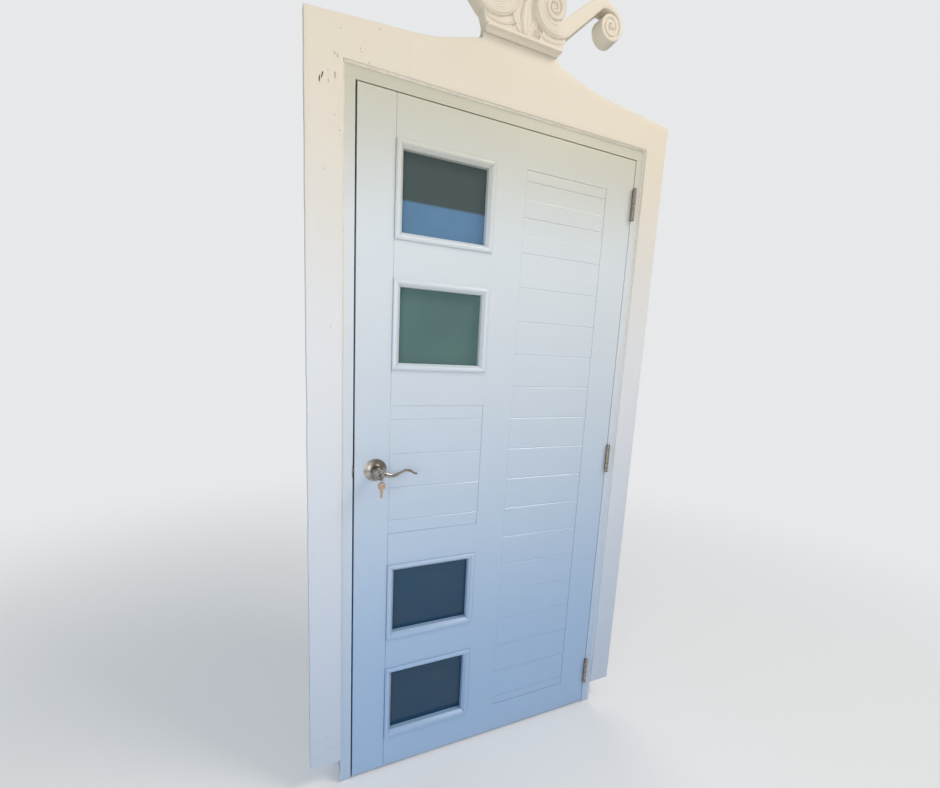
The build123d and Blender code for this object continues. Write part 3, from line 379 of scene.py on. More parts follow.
def cap(shape, points, ring, inner, front):
    """Fills a ring of vertices with triangles, through inner points that may lie off its plane."""
    every = points + [Vector((p.x, p.z)) for p in inner]
    flat = delaunay_2d_cdt(every, [], [list(range(len(points)))], 1, 1e-7)
    made = {}
    for i, sources in enumerate(flat[3]):
        k = sources[0]
        made[i] = ring[k] if k < len(points) else shape.verts.new(inner[k - len(points)])
    for corners in flat[2]:
        order = corners if front else list(reversed(corners))
        shape.faces.new([made[i] for i in order]).smooth = bool(inner)


def skin(shape, rings, smooth_sides=None):
    """Faces from each ring of vertices to the next. All are smooth, or the first few of each ring."""
    count = len(rings[0])
    for low, high in zip(rings, rings[1:]):
        for i in range(count):
            j = (i + 1) % count
            face = shape.faces.new((low[i], low[j], high[j], high[i]))
            face.smooth = smooth_sides is None or i < smooth_sides


def closed_mesh(shape, name, crease=None):
    """The mesh of a closed shape, with its faces outward and its edges over crease degrees sharp."""
    bmesh.ops.recalc_face_normals(shape, faces=shape.faces)
    if crease:
        for edge in shape.edges:
            edge.smooth = edge.calc_face_angle(0.0) < radians(crease)
    return as_mesh(shape, name)


def rounded_plate(name, points, back, front, edge, inner=()):
    """A plate between two planes, whose front edge is rounded. Its outline is in X and Z."""
    ways = outward(points)
    near, far = 0.13 * edge, 0.5 * edge
    steps = ((0.0, back), (0.0, front + edge), (near, front + far), (far, front + near), (edge, front))
    shape = bmesh.new()
    rings = []
    for inset, depth in steps:
        place = [p - way * inset for p, way in zip(points, ways)]
        rings.append([shape.verts.new((p.x, depth, p.y)) for p in place])
    skin(shape, rings)
    cap(shape, [p - way * edge for p, way in zip(points, ways)], rings[-1], list(inner), True)
    cap(shape, list(points), rings[0], [], False)
    return closed_mesh(shape, name)


leg_inner, leg_foot, spring = 0.492, 0.086, 2.077
neck_half, neck_foot, neck_top = 0.124, 2.230, 2.244
shoulder, flank = (0.320, 2.185), (0.196, 2.209)


def surround_side(leg_outer, corner_height):
    """Half of the outline: up the leg, along the slope, up the sweep and the neck."""
    corner = (leg_outer, corner_height)
    slope = Vector(shoulder) - Vector(corner)
    leg = [(leg_inner, leg_foot), (leg_outer, leg_foot), corner]
    sweep = [tuple(p) for p in arc_to(shoulder, slope.normalized(), flank, 8)]
    return leg + sweep + [(neck_half, neck_foot), (neck_half, neck_top)]


right_side = surround_side(0.577, 2.162)
left_side = [(-x, z) for x, z in reversed(surround_side(0.584, 2.166))]
outline = dense(right_side + left_side + [(-leg_inner, spring), (leg_inner, spring)], 0.013)
mean_inset, inset_swing = 0.0006, 0.0010
hand_run = []
for point, way in zip(outline, outward(outline)):
    slow_waver = noise.noise(Vector((point.x * 9, 0.3, point.y * 9)))
    quick_waver = noise.noise(Vector((point.x * 40, 4.0, point.y * 40)))
    under_head = point.y > spring - 0.002 and abs(point.x) < leg_inner
    at_frame = under_head or abs(abs(point.x) - leg_inner) < 0.001
    inset = max(0.0, mean_inset + inset_swing * (slow_waver + 0.4 * quick_waver))
    hand_run.append(point - way * (0.0 if at_frame else inset))

cream_paint, tree = new_material("cream_wall_paint")
place = object_place(tree)
cloud = ramp(tree, grain(tree, place, 2.6, 5.0, 0.6), 0.32, 0.68)
height = height_up(tree)
# The cream is warmest at the top and turns grey-white and then blue lower down: painted warm light from above
# and painted cool light from below.
upper = blend(tree, cloud, (0.765, 0.685, 0.555, 1), (0.75, 0.665, 0.53, 1))
lower = blend(tree, ramp(tree, height, 0.1, 1.5), (0.47, 0.545, 0.66, 1), (0.73, 0.74, 0.755, 1))
tone = blend(tree, ramp(tree, height, 1.3, 2.15), lower, upper)
drip = ramp(tree, grain(tree, object_place(tree, (34.0, 34.0, 1.4)), 1.0, 4.0), 0.60, 0.78)
tone = stain(tree, tone, drip, 0.10, (0.56, 0.48, 0.36, 1))
fleck = ramp(tree, grain(tree, place, 95.0, 3.0, 0.6), 0.70, 0.76)
tone = stain(tree, tone, fleck, 0.20, (0.45, 0.37, 0.28, 1))
blots = ramp(tree, grain(tree, place, 30.0, 6.0, 0.7), 0.46, 0.62)
splash = times(tree, ramp(tree, height, 0.30, 0.06), blots)
tone = stain(tree, tone, splash, 0.10, (0.42, 0.38, 0.33, 1))
trowel = grain(tree, object_place(tree, (9.0, 9.0, 4.0)), 1.0, 5.0)
bump = relief(tree, trowel, 0.0022, 0.6)
bump = relief(tree, grain(tree, place, 330.0, 4.0, 0.6), 0.0005, 0.5, bump)
surface(tree, Base_Color=tone, Roughness=0.62, Normal=bump, Specular_IOR_Level=0.35)


def inside(point, corners):
    """Whether a point lies inside a closed outline."""
    held = False
    for a, b in zip(corners, corners[1:] + corners[:1]):
        crossed = (a.y > point.y) != (b.y > point.y)
        if crossed and point.x < a.x + (point.y - a.y) * (b.x - a.x) / (b.y - a.y):
            held = not held
    return held


# The plaster's face is hollow by up to a millimetre in places, on points in a grid.
grid, deepest = 0.019, 0.0007
kept_in = [p - way * 0.009 for p, way in zip(outline, outward(outline))]
face_points = []
for i in range(-30, 31):
    for j in range(4, 116):
        spot = Vector((i * grid + grid / 2 * (j % 2), j * grid))
        if inside(spot, kept_in):
            hollow = 0.5 + noise.noise(Vector((spot.x * 11, 7.0, spot.y * 7)))
            face_points.append(Vector((spot.x, surround_front + deepest * max(0.0, hollow), spot.y)))
surround_mesh = rounded_plate("plaster_surround", hand_run, surround_back, surround_front, surround_round,
                              face_points)
surround_nodes = ["surround_leg_lock_side", "surround_leg_hinge_side", "surround_head"]
add_piece("plaster_surround", surround_mesh, cream_paint, "frame", surround_nodes)

# Chips in the plaster: places by the corner of the lock side where the paint and the skim were
# knocked off and the brown coat shows, with a rough edge.
bare_coat, tree = new_material("bare_brown_coat")
place = object_place(tree)
crumb = ramp(tree, grain(tree, place, 700.0, 3.0), 0.35, 0.65)
tone = blend(tree, crumb, (0.06, 0.03, 0.018, 1), (0.20, 0.12, 0.07, 1))
surface(tree, Base_Color=tone, Roughness=0.9, Normal=relief(tree, grain(tree, place, 900.0), 0.0006, 0.8))
scuff_coat, tree = new_material("scuffed_paint")
rub = ramp(tree, grain(tree, object_place(tree), 400.0, 3.0), 0.4, 0.6)
surface(tree, Base_Color=blend(tree, rub, (0.44, 0.35, 0.24, 1), (0.60, 0.51, 0.38, 1)), Roughness=0.8)


def chips(name, marks, material):
    """Thin flakes with ragged outlines on the surround's face, from (x, z, width, height, lean)."""
    shape = bmesh.new()
    corner_count, proud, sunk = 14, 0.00012, 0.0004
    for k, (x, z, width, tall, lean) in enumerate(marks):
        rim = []
        for i in range(corner_count):
            angle = 2 * pi * i / corner_count
            reach = 0.5 + 0.22 * noise.noise(Vector((k * 3.7, i * 1.9, 0.5)))
            u, w = cos(angle) * width * reach, sin(angle) * tall * reach
            rim.append((x + u * cos(lean) - w * sin(lean), z + u * sin(lean) + w * cos(lean)))
        front = [shape.verts.new((u, surround_front - proud, w)) for u, w in rim]
        back = [shape.verts.new((u, surround_front + sunk, w)) for u, w in rim]
        shape.faces.new(front)
        shape.faces.new(list(reversed(back)))
        skin(shape, [back, front], 0)
    add_piece(name, closed_mesh(shape, name), material, "frame")


knocks = [(-0.5477, 2.0173, 0.0030, 0.0150, -0.05), (-0.5414, 2.0277, 0.0028, 0.0160, -0.30)]
chips("plaster_chips", knocks, bare_coat)
chips("plaster_scuffs", [
    (-0.5268, 2.0174, 0.0020, 0.0080, 0.1), (-0.5282, 2.0410, 0.0026, 0.0030, 0.2),
    (-0.5112, 2.0336, 0.0032, 0.0160, 0.1), (-0.5051, 2.0784, 0.0024, 0.0100, 0.2),
    (-0.5126, 2.0816, 0.0026, 0.0050, 0.5), (-0.4508, 2.1086, 0.0032, 0.0040, 0.0),
    (-0.4294, 2.0824, 0.0035, 0.0034, 0.3), (-0.4483, 2.1021, 0.0020, 0.0030, 0.1),
    (-0.5120, 1.9450, 0.0030, 0.0024, 0.0), (-0.4977, 2.1391, 0.0026, 0.0030, 0.0),
    (-0.4027, 2.1643, 0.0024, 0.0030, 0.2), (-0.5000, 1.9130, 0.0024, 0.0036, 0.2),
    (-0.5380, 1.8180, 0.0028, 0.0024, 0.0), (-0.5220, 1.4300, 0.0026, 0.0030, 0.1),
    (-0.5350, 0.1900, 0.0060, 0.0040, 0.2), (-0.5150, 0.1420, 0.0040, 0.0060, 0.0),
    (0.5300, 0.1600, 0.0050, 0.0040, 0.3)], scuff_coat)

# Crest: a cast plaster ornament fixed over the neck, two S-scrolls that roll into volutes at both
# ends, a fan of leaves between them and a coved base. The cast edges are soft, and it is painted
# with the surround, which fills the finest lines.
inner_eye = Vector((0.085, neck_top + 0.113))
outer_eye = Vector((0.285, neck_top + 0.124))
crest_back, crest_front = 0.017, -0.030
inner_start, outer_start = radians(-49), radians(131)
inner_radius_0, inner_ratio, inner_turns = 0.080, 0.44, 2.55
outer_radius_0, outer_pitch, outer_turns = 0.047, 0.0137, 2.4
volute_groove = 0.0034
base_rise = 0.016
base_top = neck_top + base_rise


def on_spiral(eye, start, turn, radius):
    """A point on a clockwise spiral, turn degrees on from its start."""
    angle = start - radians(turn)
    return eye + Vector((radius * cos(angle), radius * sin(angle)))


def inner_reach(turn):
    """The inner volute tightens by the same ratio each turn."""
    return inner_radius_0 * inner_ratio ** (turn / 360)


def inner_gap(turn):
    """The groove beside the inner volute's band narrows with it."""
    return volute_groove * min(1.0, inner_ratio ** (turn / 360 - 1.0))


def outer_reach(turn):
    """The outer volute tightens evenly, after the arm's top edge has swept in."""
    return outer_radius_0 - outer_pitch * turn / 360 + 0.046 * exp(-turn / 28)


def outer_inside(turn):
    """The inside edge of the outer volute's band, which opens into the arm."""
    return max(0.0006, outer_reach(turn + 360) + volute_groove + outer_pitch * exp(-turn / 28))


def hermite(a, b, heading_a, heading_b, t):
    """A point on a smooth curve from a to b."""
    fall = 2 * t ** 3 - 3 * t ** 2
    return a * (1 + fall) + b * -fall + heading_a * (t ** 3 - 2 * t ** 2 + t) + heading_b * (t ** 3 - t ** 2)


arm_foot = on_spiral(inner_eye, inner_start, 0, inner_reach(360) + volute_groove)
arm_way = Vector((cos(radians(41)), sin(radians(41))))
arm_top = arm_foot + arm_way * 0.127
join_turn = 14.0
turn_step, join_points, arm_points = 9.0, 7, 13
over_edge, under_edge, crown = [], [], []
turn = 360 * outer_turns
while turn > join_turn:
    over_edge.append(on_spiral(outer_eye, outer_start, turn, outer_reach(turn)))
    under_edge.append(on_spiral(outer_eye, outer_start, turn, outer_inside(turn)))
    crown.append(1.0)
    turn -= turn_step
join = on_spiral(outer_eye, outer_start, join_turn, outer_reach(join_turn))
before = on_spiral(outer_eye, outer_start, join_turn + 4, outer_reach(join_turn + 4))
heading = (join - before).normalized()
pull = 0.045
for i in range(join_points):
    t = i / join_points
    turn = join_turn * (1 - t)
    over_edge.append(hermite(join, arm_top, heading * pull, -arm_way * pull, t))
    under_edge.append(on_spiral(outer_eye, outer_start, turn, outer_inside(turn)))
    crown.append(1.0 - 0.45 * t)
arm_low_top = on_spiral(outer_eye, outer_start, 0, outer_inside(0))
arm_low_foot = on_spiral(inner_eye, inner_start, 0, inner_reach(0))
for i in range(arm_points):
    t = i / arm_points
    over_edge.append(arm_top.lerp(arm_foot, t))
    under_edge.append(arm_low_top.lerp(arm_low_foot, t))
    crown.append(0.55)
turn = 0.0
while turn < 360 * inner_turns:
    over_edge.append(on_spiral(inner_eye, inner_start, turn, inner_reach(turn + 360) + inner_gap(turn)))
    under_edge.append(on_spiral(inner_eye, inner_start, turn, inner_reach(turn)))
    crown.append(min(1.0, 0.55 + turn / 200))
    turn += turn_step


def scroll(side):
    """One S-scroll: a rounded band between its two edges, with drafted sides, closed all round.

    The backs of its turns lie a little apart, because the drafted sides overlap there.
    """
    shape = bmesh.new()
    rows = []
    across = [0.0, 0.02, 0.06, 0.13, 0.24, 0.37, 0.5, 0.63, 0.76, 0.87, 0.94, 0.98, 1.0]
    tallest, draft, knee, stagger = 0.0034, 0.0022, -0.012, 0.0020
    for k, (over, under) in enumerate(zip(over_edge, under_edge)):
        width = (over - under).length
        way = (over - under).normalized()
        rise = min(tallest, width * 0.20) * crown[k]
        behind = crest_back - stagger * abs(2 * k / len(over_edge) - 1)
        ring = [(under - way * draft, behind), (under - way * draft * 0.4, knee)]
        for u in across:
            soft = (1 - abs(2 * u - 1) ** 2.6) ** 0.5 if 0 < u < 1 else 0.0
            ring.append((under.lerp(over, u), crest_front + rise * (1 - soft) + 0.0004))
        ring += [(over + way * draft * 0.4, knee), (over + way * draft, behind)]
        rows.append([shape.verts.new((side * p.x, depth, min(p.y, cad_high[2]))) for p, depth in ring])
    skin(shape, rows, len(rows[0]) - 1)
    shape.faces.new(rows[0])
    shape.faces.new(rows[-1])
    return closed_mesh(shape, "scroll", 50)


def joined(name, meshes):
    """Several meshes as one, each still a closed shell."""
    shape = bmesh.new()
    for mesh in meshes:
        shape.from_mesh(mesh)
    return as_mesh(shape, name)


def on_side(points, side):
    """Points of a counterclockwise outline on the right, or of its mirror image on the left."""
    return points if side > 0 else [Vector((-p.x, p.y)) for p in reversed(points)]


ground_edge, ground_inset = 0.0012, 0.003


def volute_ground(eye, start, reach, first, side, back, front):
    """The sunk ground behind a volute, a spiral disc."""
    turns = [first + 12 * i for i in range(31)]
    points = [on_spiral(eye, start, turn, reach(turn) - ground_inset) for turn in reversed(turns)]
    return rounded_plate("ground", on_side(points, side), back, front, ground_edge)


grounds = []
ground_foot = base_top - 0.002
for side in (-1, 1):
    grounds.append(volute_ground(inner_eye, inner_start, inner_reach, 0, side, 0.0140, -0.0256))
    grounds.append(volute_ground(outer_eye, outer_start, outer_reach, 60, side, 0.0140, -0.0262))
    root = on_spiral(inner_eye, inner_start, 0, inner_radius_0 - ground_inset)
    flank_points = [root, inner_eye, Vector((0.040, ground_foot)), Vector((0.121, ground_foot))]
    flank_points = dense(on_side(flank_points, side), 0.02)
    grounds.append(rounded_plate("flank", flank_points, 0.0130, -0.0230, ground_edge))
field = [(-0.046, ground_foot), (0.046, ground_foot), tuple(inner_eye), (0.015, inner_eye.y + 0.015)]
field += [(-0.015, inner_eye.y + 0.015), (-inner_eye.x, inner_eye.y)]
grounds.append(rounded_plate("field", dense(field, 0.02), 0.0120, -0.0168, ground_edge))
scroll_mesh = joined("crest_scrolls", [scroll(1), scroll(-1)] + grounds)
add_piece("crest_scrolls", scroll_mesh, cream_paint, "frame", ["crest"])

# The base's profile, from its foot up: rise, half width and front of each step. A cove lies between
# a narrow fillet below and a flat band with soft edges above.
steps = [(0.0, 0.1150, -0.0122)]
for i in range(9):
    angle = pi * i / 16
    drop = 1 - cos(angle)
    steps.append((0.0006 + 0.0064 * sin(angle), 0.1156 + 0.0040 * drop, -0.0134 - 0.0150 * drop))
steps += [(0.0076, 0.1204, -0.0293), (0.0085, 0.1209, -0.0299), (0.0145, 0.1209, -0.0299)]
steps += [(0.0154, 0.1205, -0.0294), (base_rise, 0.1196, -0.0284)]
corner_cut = 0.002
shape = bmesh.new()
rings = []
for rise, half, depth in steps:
    ring = [(-half, crest_back), (-half, depth + corner_cut), (-half + corner_cut, depth)]
    ring += [(half - corner_cut, depth), (half, depth + corner_cut), (half, crest_back)]
    rings.append([shape.verts.new((x, y, neck_top + rise)) for x, y in ring])
skin(shape, rings)
shape.faces.new(rings[0])
shape.faces.new(rings[-1])
add_piece("crest_base", closed_mesh(shape, "crest_base", 32), cream_paint, "frame")


# Carving on the crest: reeds that follow the inner volutes with a border below them, a button in
# each eye, and a fan of leaves between the scrolls. Reeds and leaves repeat, so node trees lay
# them out.
class Maker:
    """A Geometry Nodes tree with named inputs, which gives one plain mesh at the end."""

    def __init__(self, name, inputs):
        self.tree = bpy.data.node_groups.new(name, "GeometryNodeTree")
        self.sockets = {}
        for title, kind in inputs.items():
            socket = self.tree.interface.new_socket(title, in_out="INPUT", socket_type=kind)
            self.sockets[title] = socket.identifier
        self.tree.interface.new_socket("Geometry", in_out="OUTPUT", socket_type="NodeSocketGeometry")
        self.start = self.tree.nodes.new("NodeGroupInput")
        self.end = self.tree.nodes.new("NodeGroupOutput")

    def given(self, title):
        return self.start.outputs[title]

    def add(self, kind, inputs=None, **settings):
        return node(self.tree, kind, inputs, **settings)

    def maths(self, operation, *values):
        return self.add("ShaderNodeMath", dict(enumerate(values)), operation=operation).outputs[0]

    def close(self, geometry, material):
        real = self.add("GeometryNodeRealizeInstances", {"Geometry": geometry})
        finish = self.add("GeometryNodeSetMaterial", {"Geometry": real.outputs[0], "Material": material})
        self.tree.links.new(finish.outputs[0], self.end.inputs[0])

    def make(self, name, mesh=None, **values):
        """The finished mesh, for a mesh to work on and values for the named inputs."""

        def prepare(maker):
            modifier = maker.modifiers.new(name, "NODES")
            modifier.node_group = self.tree
            for title, value in values.items():
                modifier[self.sockets[title.replace("_", " ")]] = value

        return baked(mesh or bpy.data.meshes.new(name), name, prepare)


number, whole = "NodeSocketFloat", "NodeSocketInt"
reeds = Maker("spiral_reed", {"Side": number, "Start radius": number, "Ratio": number, "Turns": number,
                              "Reed radius": number, "Eye X": number, "Eye Z": number, "Depth": number,
                              "Start angle": number})
path = reeds.add("GeometryNodeCurvePrimitiveLine", {"Start": (0, 0, 0), "End": (1, 0, 0)})
fine = reeds.add("GeometryNodeResampleCurve", {"Curve": path.outputs[0], "Count": 130})
share = reeds.add("GeometryNodeSplineParameter").outputs["Factor"]
turned = reeds.maths("MULTIPLY", share, reeds.given("Turns"))
shrink = reeds.maths("POWER", reeds.given("Ratio"), turned)
reach = reeds.maths("MULTIPLY", reeds.given("Start radius"), shrink)
angle = reeds.maths("SUBTRACT", reeds.given("Start angle"), reeds.maths("MULTIPLY", turned, 2 * pi))
x = reeds.maths("ADD", reeds.given("Eye X"), reeds.maths("MULTIPLY", reach, reeds.maths("COSINE", angle)))
x = reeds.maths("MULTIPLY", x, reeds.given("Side"))
z = reeds.maths("ADD", reeds.given("Eye Z"), reeds.maths("MULTIPLY", reach, reeds.maths("SINE", angle)))
spot = reeds.add("ShaderNodeCombineXYZ", {"X": x, "Y": reeds.given("Depth"), "Z": z})
wound = reeds.add("GeometryNodeSetPosition", {"Geometry": fine.outputs[0], "Position": spot.outputs[0]})
ease_in = reeds.add("ShaderNodeMapRange", {"Value": share, "From Max": 0.09}, interpolation_type="SMOOTHSTEP")
ease_out = reeds.add("ShaderNodeMapRange", {"Value": share, "From Min": 1.0, "From Max": 0.97})
eased_ends = reeds.maths("MULTIPLY", ease_in.outputs[0], ease_out.outputs[0])
swell = reeds.maths("MULTIPLY", reeds.maths("POWER", shrink, 0.6), eased_ends)
swell = reeds.maths("ADD", swell, 0.02)
bar_inputs = {"Resolution": 10, "Radius": reeds.given("Reed radius")}
round_bar = reeds.add("GeometryNodeCurvePrimitiveCircle", bar_inputs)
bar = reeds.add("GeometryNodeCurveToMesh", {"Curve": wound.outputs[0], "Profile Curve": round_bar.outputs[0],
                                            "Scale": swell, "Fill Caps": True})
reeds.close(reeds.add("GeometryNodeSetShadeSmooth", {"Geometry": bar.outputs[0]}).outputs[0], cream_paint)
reed_sizes = ((0.0740, 0.0017), (0.0665, 0.0012), (0.0600, 0.0013), (0.0530, 0.0012), (0.0470, 0.0017))
border_sizes = ((0.0885, 0.0018), (0.0850, 0.0009))
lines = []
for side in (-1, 1):
    for first, thick in reed_sizes:
        lines.append(reeds.make("reed", Side=side, Start_radius=first, Ratio=inner_ratio, Turns=2.2,
                                Reed_radius=thick, Eye_X=inner_eye.x, Eye_Z=inner_eye.y,
                                Depth=crest_front + 0.0008, Start_angle=inner_start))
    for first, thick in border_sizes:
        lines.append(reeds.make("border", Side=side, Start_radius=first, Ratio=1.0, Turns=0.19,
                                Reed_radius=thick, Eye_X=inner_eye.x, Eye_Z=inner_eye.y,
                                Depth=-0.0228, Start_angle=radians(-60)))
add_piece("crest_reeds", joined("crest_reeds", lines), cream_paint, "frame")


def circle(radius, count):
    """Points round a circle about the origin."""
    return [(radius * cos(2 * pi * j / count), radius * sin(2 * pi * j / count)) for j in range(count)]


def dome(x, z, radius, height, rings=6, count=20):
    """A low button in a volute's eye, which faces outdoors."""
    foot = -0.0215
    shape = bmesh.new()
    rows = []
    for i in range(rings + 1):
        angle = pi / 2 * i / rings
        reach = radius * cos(angle) if i < rings else 0.0004
        depth = foot - height * sin(angle)
        rows.append([shape.verts.new((x + u, depth, z + w)) for u, w in circle(reach, count)])
    skin(shape, rows)
    shape.faces.new(rows[-1])
    shape.faces.new(rows[0])
    return closed_mesh(shape, "dome")


buttons = []
for side in (-1, 1):
    buttons.append(dome(side * inner_eye.x, inner_eye.y, 0.0082, 0.0082))
    buttons.append(dome(side * outer_eye.x, outer_eye.y, 0.0095, 0.0106))
add_piece("crest_buttons", joined("crest_buttons", buttons), cream_paint, "frame")

# One leaf of the fan, a metre long: a blade that swells and draws to a point, arched across, with
# a groove for the midrib and a tip that curls forward.
shape = bmesh.new()
rows = []
widest, arch, midrib, curl, tip_from = 0.150, 0.060, 0.028, 0.020, 0.86
for i in range(13):
    t = i / 12
    blade, tip = sin(pi * min(1.0, t * 1.08 + 0.06)) ** 0.7, 0.55 * (1 - t) / (1 - tip_from) + 0.02
    half = widest * (blade if t < tip_from else tip)
    row = []
    for j in range(9):
        u = j / 4 - 1
        lift = (1 - u * u) ** 0.5 * arch - midrib * exp(-(u / 0.25) ** 2) + curl * t * t
        row.append(shape.verts.new((half * u, -lift, t)))
    row += [shape.verts.new((half * u, arch, t)) for u in (1.0, -1.0)]
    rows.append(row)
skin(shape, rows, 8)
shape.faces.new(rows[0])
shape.faces.new(rows[-1])
petal = put("petal_pattern", closed_mesh(shape, "petal"))
fan = Maker("leaf_fan", {"Petal": "NodeSocketObject", "Count": whole, "Spread": number,
                         "Middle length": number, "Side length": number,
                         "Foot X": number, "Foot Y": number, "Foot Z": number})
spots = fan.add("GeometryNodePoints", {"Count": fan.given("Count")})
index = fan.add("GeometryNodeInputIndex").outputs[0]
last = fan.maths("SUBTRACT", fan.given("Count"), 1.0)
lean = fan.maths("SUBTRACT", fan.maths("MULTIPLY", fan.maths("DIVIDE", index, last), 2.0), 1.0)
steep = fan.maths("ABSOLUTE", lean)
span = fan.add("ShaderNodeMapRange", {"Value": steep, "To Min": fan.given("Middle length"),
                                      "To Max": fan.given("Side length")}).outputs[0]
foot_x = fan.maths("MULTIPLY", lean, fan.given("Foot X"))
foot_y = fan.maths("ADD", fan.given("Foot Y"), fan.maths("MULTIPLY", steep, 0.004))
foot = fan.add("ShaderNodeCombineXYZ", {"X": foot_x, "Y": foot_y, "Z": fan.given("Foot Z")})
placed = fan.add("GeometryNodeSetPosition", {"Geometry": spots.outputs[0], "Position": foot.outputs[0]})
tilt = fan.add("ShaderNodeCombineXYZ", {"Y": fan.maths("MULTIPLY", lean, fan.given("Spread"))})
pattern = fan.add("GeometryNodeObjectInfo", {"Object": fan.given("Petal"), "As Instance": True})
petals = fan.add("GeometryNodeInstanceOnPoints", {"Points": placed.outputs[0],
                                                 "Instance": pattern.outputs["Geometry"],
                                                 "Rotation": tilt.outputs[0], "Scale": span})
fan.close(petals.outputs[0], cream_paint)
fan_mesh = fan.make("crest_leaves", Petal=petal, Count=5, Spread=radians(62), Middle_length=0.112,
                    Side_length=0.060, Foot_X=0.016, Foot_Y=-0.0170, Foot_Z=base_top + 0.002)
add_piece("crest_leaves", fan_mesh, cream_paint, "frame")
bpy.data.objects.remove(petal)

# Leaf: two full-height stiles, a top and a bottom rail tenoned into them, a middle mullion and
# four cross rails, all of planed hardwood. The joints meet on small bevels that show as fine
# lines, and the whole leaf is sprayed glossy white.
# The leaf's blue lower half and warm top are painted light, cool from below and warm from above.
leaf_paint = gloss_paint("leaf_paint", colour=(0.70, 0.74, 0.76, 1), shade=(0.685, 0.725, 0.745, 1),
                         cool=(0.30, 0.44, 0.64, 1), cool_below=0.2, warm=(0.60, 0.57, 0.455, 1),
                         roughness=0.28, brush=0.18)
for name in ("lock_stile", "hinge_stile", "top_rail", "bottom_rail", "centre_mullion"):
    eased(name, leaf_paint, 0.0003)
for number_of_rail in range(1, 5):
    eased(f"cross_rail_{number_of_rail}", leaf_paint, 0.0003)


# Grooved panels: flat panels let into grooves in the stiles and rails, with shallow lines routed
# across both faces to look like boards. Paint gathers in the lines and softens them.
def filled(place):
    """The paint has filled part of each line, the shallow ones the most."""
    outer_face, inner_face, least, shallow, most = 0.0006, 0.0444, 0.0002, 0.0024, 0.0042
    for face in (outer_face, inner_face):
        deep = abs(place.y - face)
        if least < deep < most:
            left = 0.35 if deep < shallow else 0.60
            return Vector((place.x, face + (place.y - face) * left, place.z))
    return place


for name in ("tall_grooved_panel", "middle_grooved_panel"):
    eased(name, leaf_paint, 0.00015, 1, change=filled)

# Window beads: mitred ovolo beads of hardwood, pinned outside and inside to hold the panes and
# painted with the leaf.
for number_of_pane in range(1, 5):
    eased(f"outer_beads_{number_of_pane}", leaf_paint, 0.0011, 3, 24.0)
    eased(f"inner_beads_{number_of_pane}", leaf_paint, 0.0011, 3, 24.0)

# Panes: float glass made opaque and dark, so that nothing shows through. Their colours are painted
# reflections: the lower two are deep blue, the next one up is green, and the top one is blue under dark
# green, with an edge between the two. The glass has a very slight wave.
glass_with_painted_reflections, tree = new_material("dark_glass_painted_reflections")
place = object_place(tree)
height = height_up(tree)
# The colours by height, the bands and the edge in the top pane are painted reflections.
tone = blend(tree, ramp(tree, height, 0.45, 1.0), (0.004, 0.040, 0.090, 1), (0.006, 0.064, 0.125, 1))
tone = blend(tree, ramp(tree, height, 1.25, 1.32), tone, (0.098, 0.178, 0.165, 1))
tone = blend(tree, ramp(tree, height, 1.60, 1.66), tone, (0.115, 0.228, 0.370, 1))
tone = blend(tree, ramp(tree, height, 1.782, 1.791), tone, (0.066, 0.090, 0.084, 1))
cast = ramp(tree, grain(tree, place, 5.0, 3.0), 0.3, 0.7)
tone = stain(tree, tone, cast, 0.18, (0.034, 0.062, 0.078, 1))
wave = relief(tree, grain(tree, place, 6.0, 1.0), 0.0006, 0.25)
smear = ramp(tree, grain(tree, place, 22.0, 5.0, 0.65), 0.45, 0.75, 0.045, 0.15)
surface(tree, Base_Color=tone, Roughness=smear, Normal=wave, IOR=1.5, Coat_Weight=0.0)
for number_of_pane in range(1, 5):
    pane = nodes[f"glass_pane_{number_of_pane}"]
    only_material(pane.data, glass_with_painted_reflections)


# Hinges: three steel butt hinges, plated a satin nickel that has dulled to brown, let into the
# leaf and the jamb with their knuckles outside.
def metal(name, bright, dull, roughness, mottle, brushed):
    """A plated metal: duller patches, fine brushing and handling marks."""
    material, tree = new_material(name)
    place = object_place(tree)
    patch = ramp(tree, grain(tree, place, mottle, 5.0, 0.62), 0.36, 0.66)
    tone = blend(tree, patch, bright, dull)
    pits = ramp(tree, grain(tree, place, mottle * 6, 3.0), 0.64, 0.72)
    tone = stain(tree, tone, pits, 0.5, (0.10, 0.075, 0.055, 1))
    gloss = linked(tree, "ShaderNodeMath", 0, {0: patch, 1: 0.16, 2: roughness}, operation="MULTIPLY_ADD")
    lines = grain(tree, object_place(tree, brushed), 1.0, 3.0)
    bump = relief(tree, lines, 0.00006, 0.5)
    bump = relief(tree, grain(tree, place, mottle * 4, 2.0), 0.0001, 0.3, bump)
    surface(tree, Base_Color=tone, Metallic=1.0, Roughness=gloss, Normal=bump)
    return material


hinge_metal = metal("dulled_nickel", (0.46, 0.40, 0.335, 1), (0.27, 0.215, 0.165, 1), 0.36, 110.0,
                    (900.0, 900.0, 60.0))
for level in ("top", "middle", "bottom"):
    eased(f"jamb_hinge_plate_{level}", hinge_metal, 0.0004)
    eased(f"leaf_hinge_plate_{level}", hinge_metal, 0.0004)
    eased(f"hinge_pin_{level}", hinge_metal, 0.0006, 3, 24.0)


# Screws: countersunk wood screws with cross recesses in the hinges, the strike and the latch's
# face plate. The heads repeat, so a node tree sets one pattern on each screw's seat.
def islands(node_name):
    """The separate solids of a CAD node, as lists of points."""
    shape = bmesh.new()
    shape.from_mesh(nodes[node_name].data)
    bmesh.ops.remove_doubles(shape, verts=shape.verts, dist=same_point)
    reached, groups = set(), []
    for first in shape.verts:
        if first in reached:
            continue
        reached.add(first)
        stack, group = [first], []
        while stack:
            vert = stack.pop()
            group.append(vert.co.copy())
            for other in (edge.other_vert(vert) for edge in vert.link_edges):
                if other not in reached:
                    reached.add(other)
                    stack.append(other)
        groups.append(group)
    shape.free()
    return groups


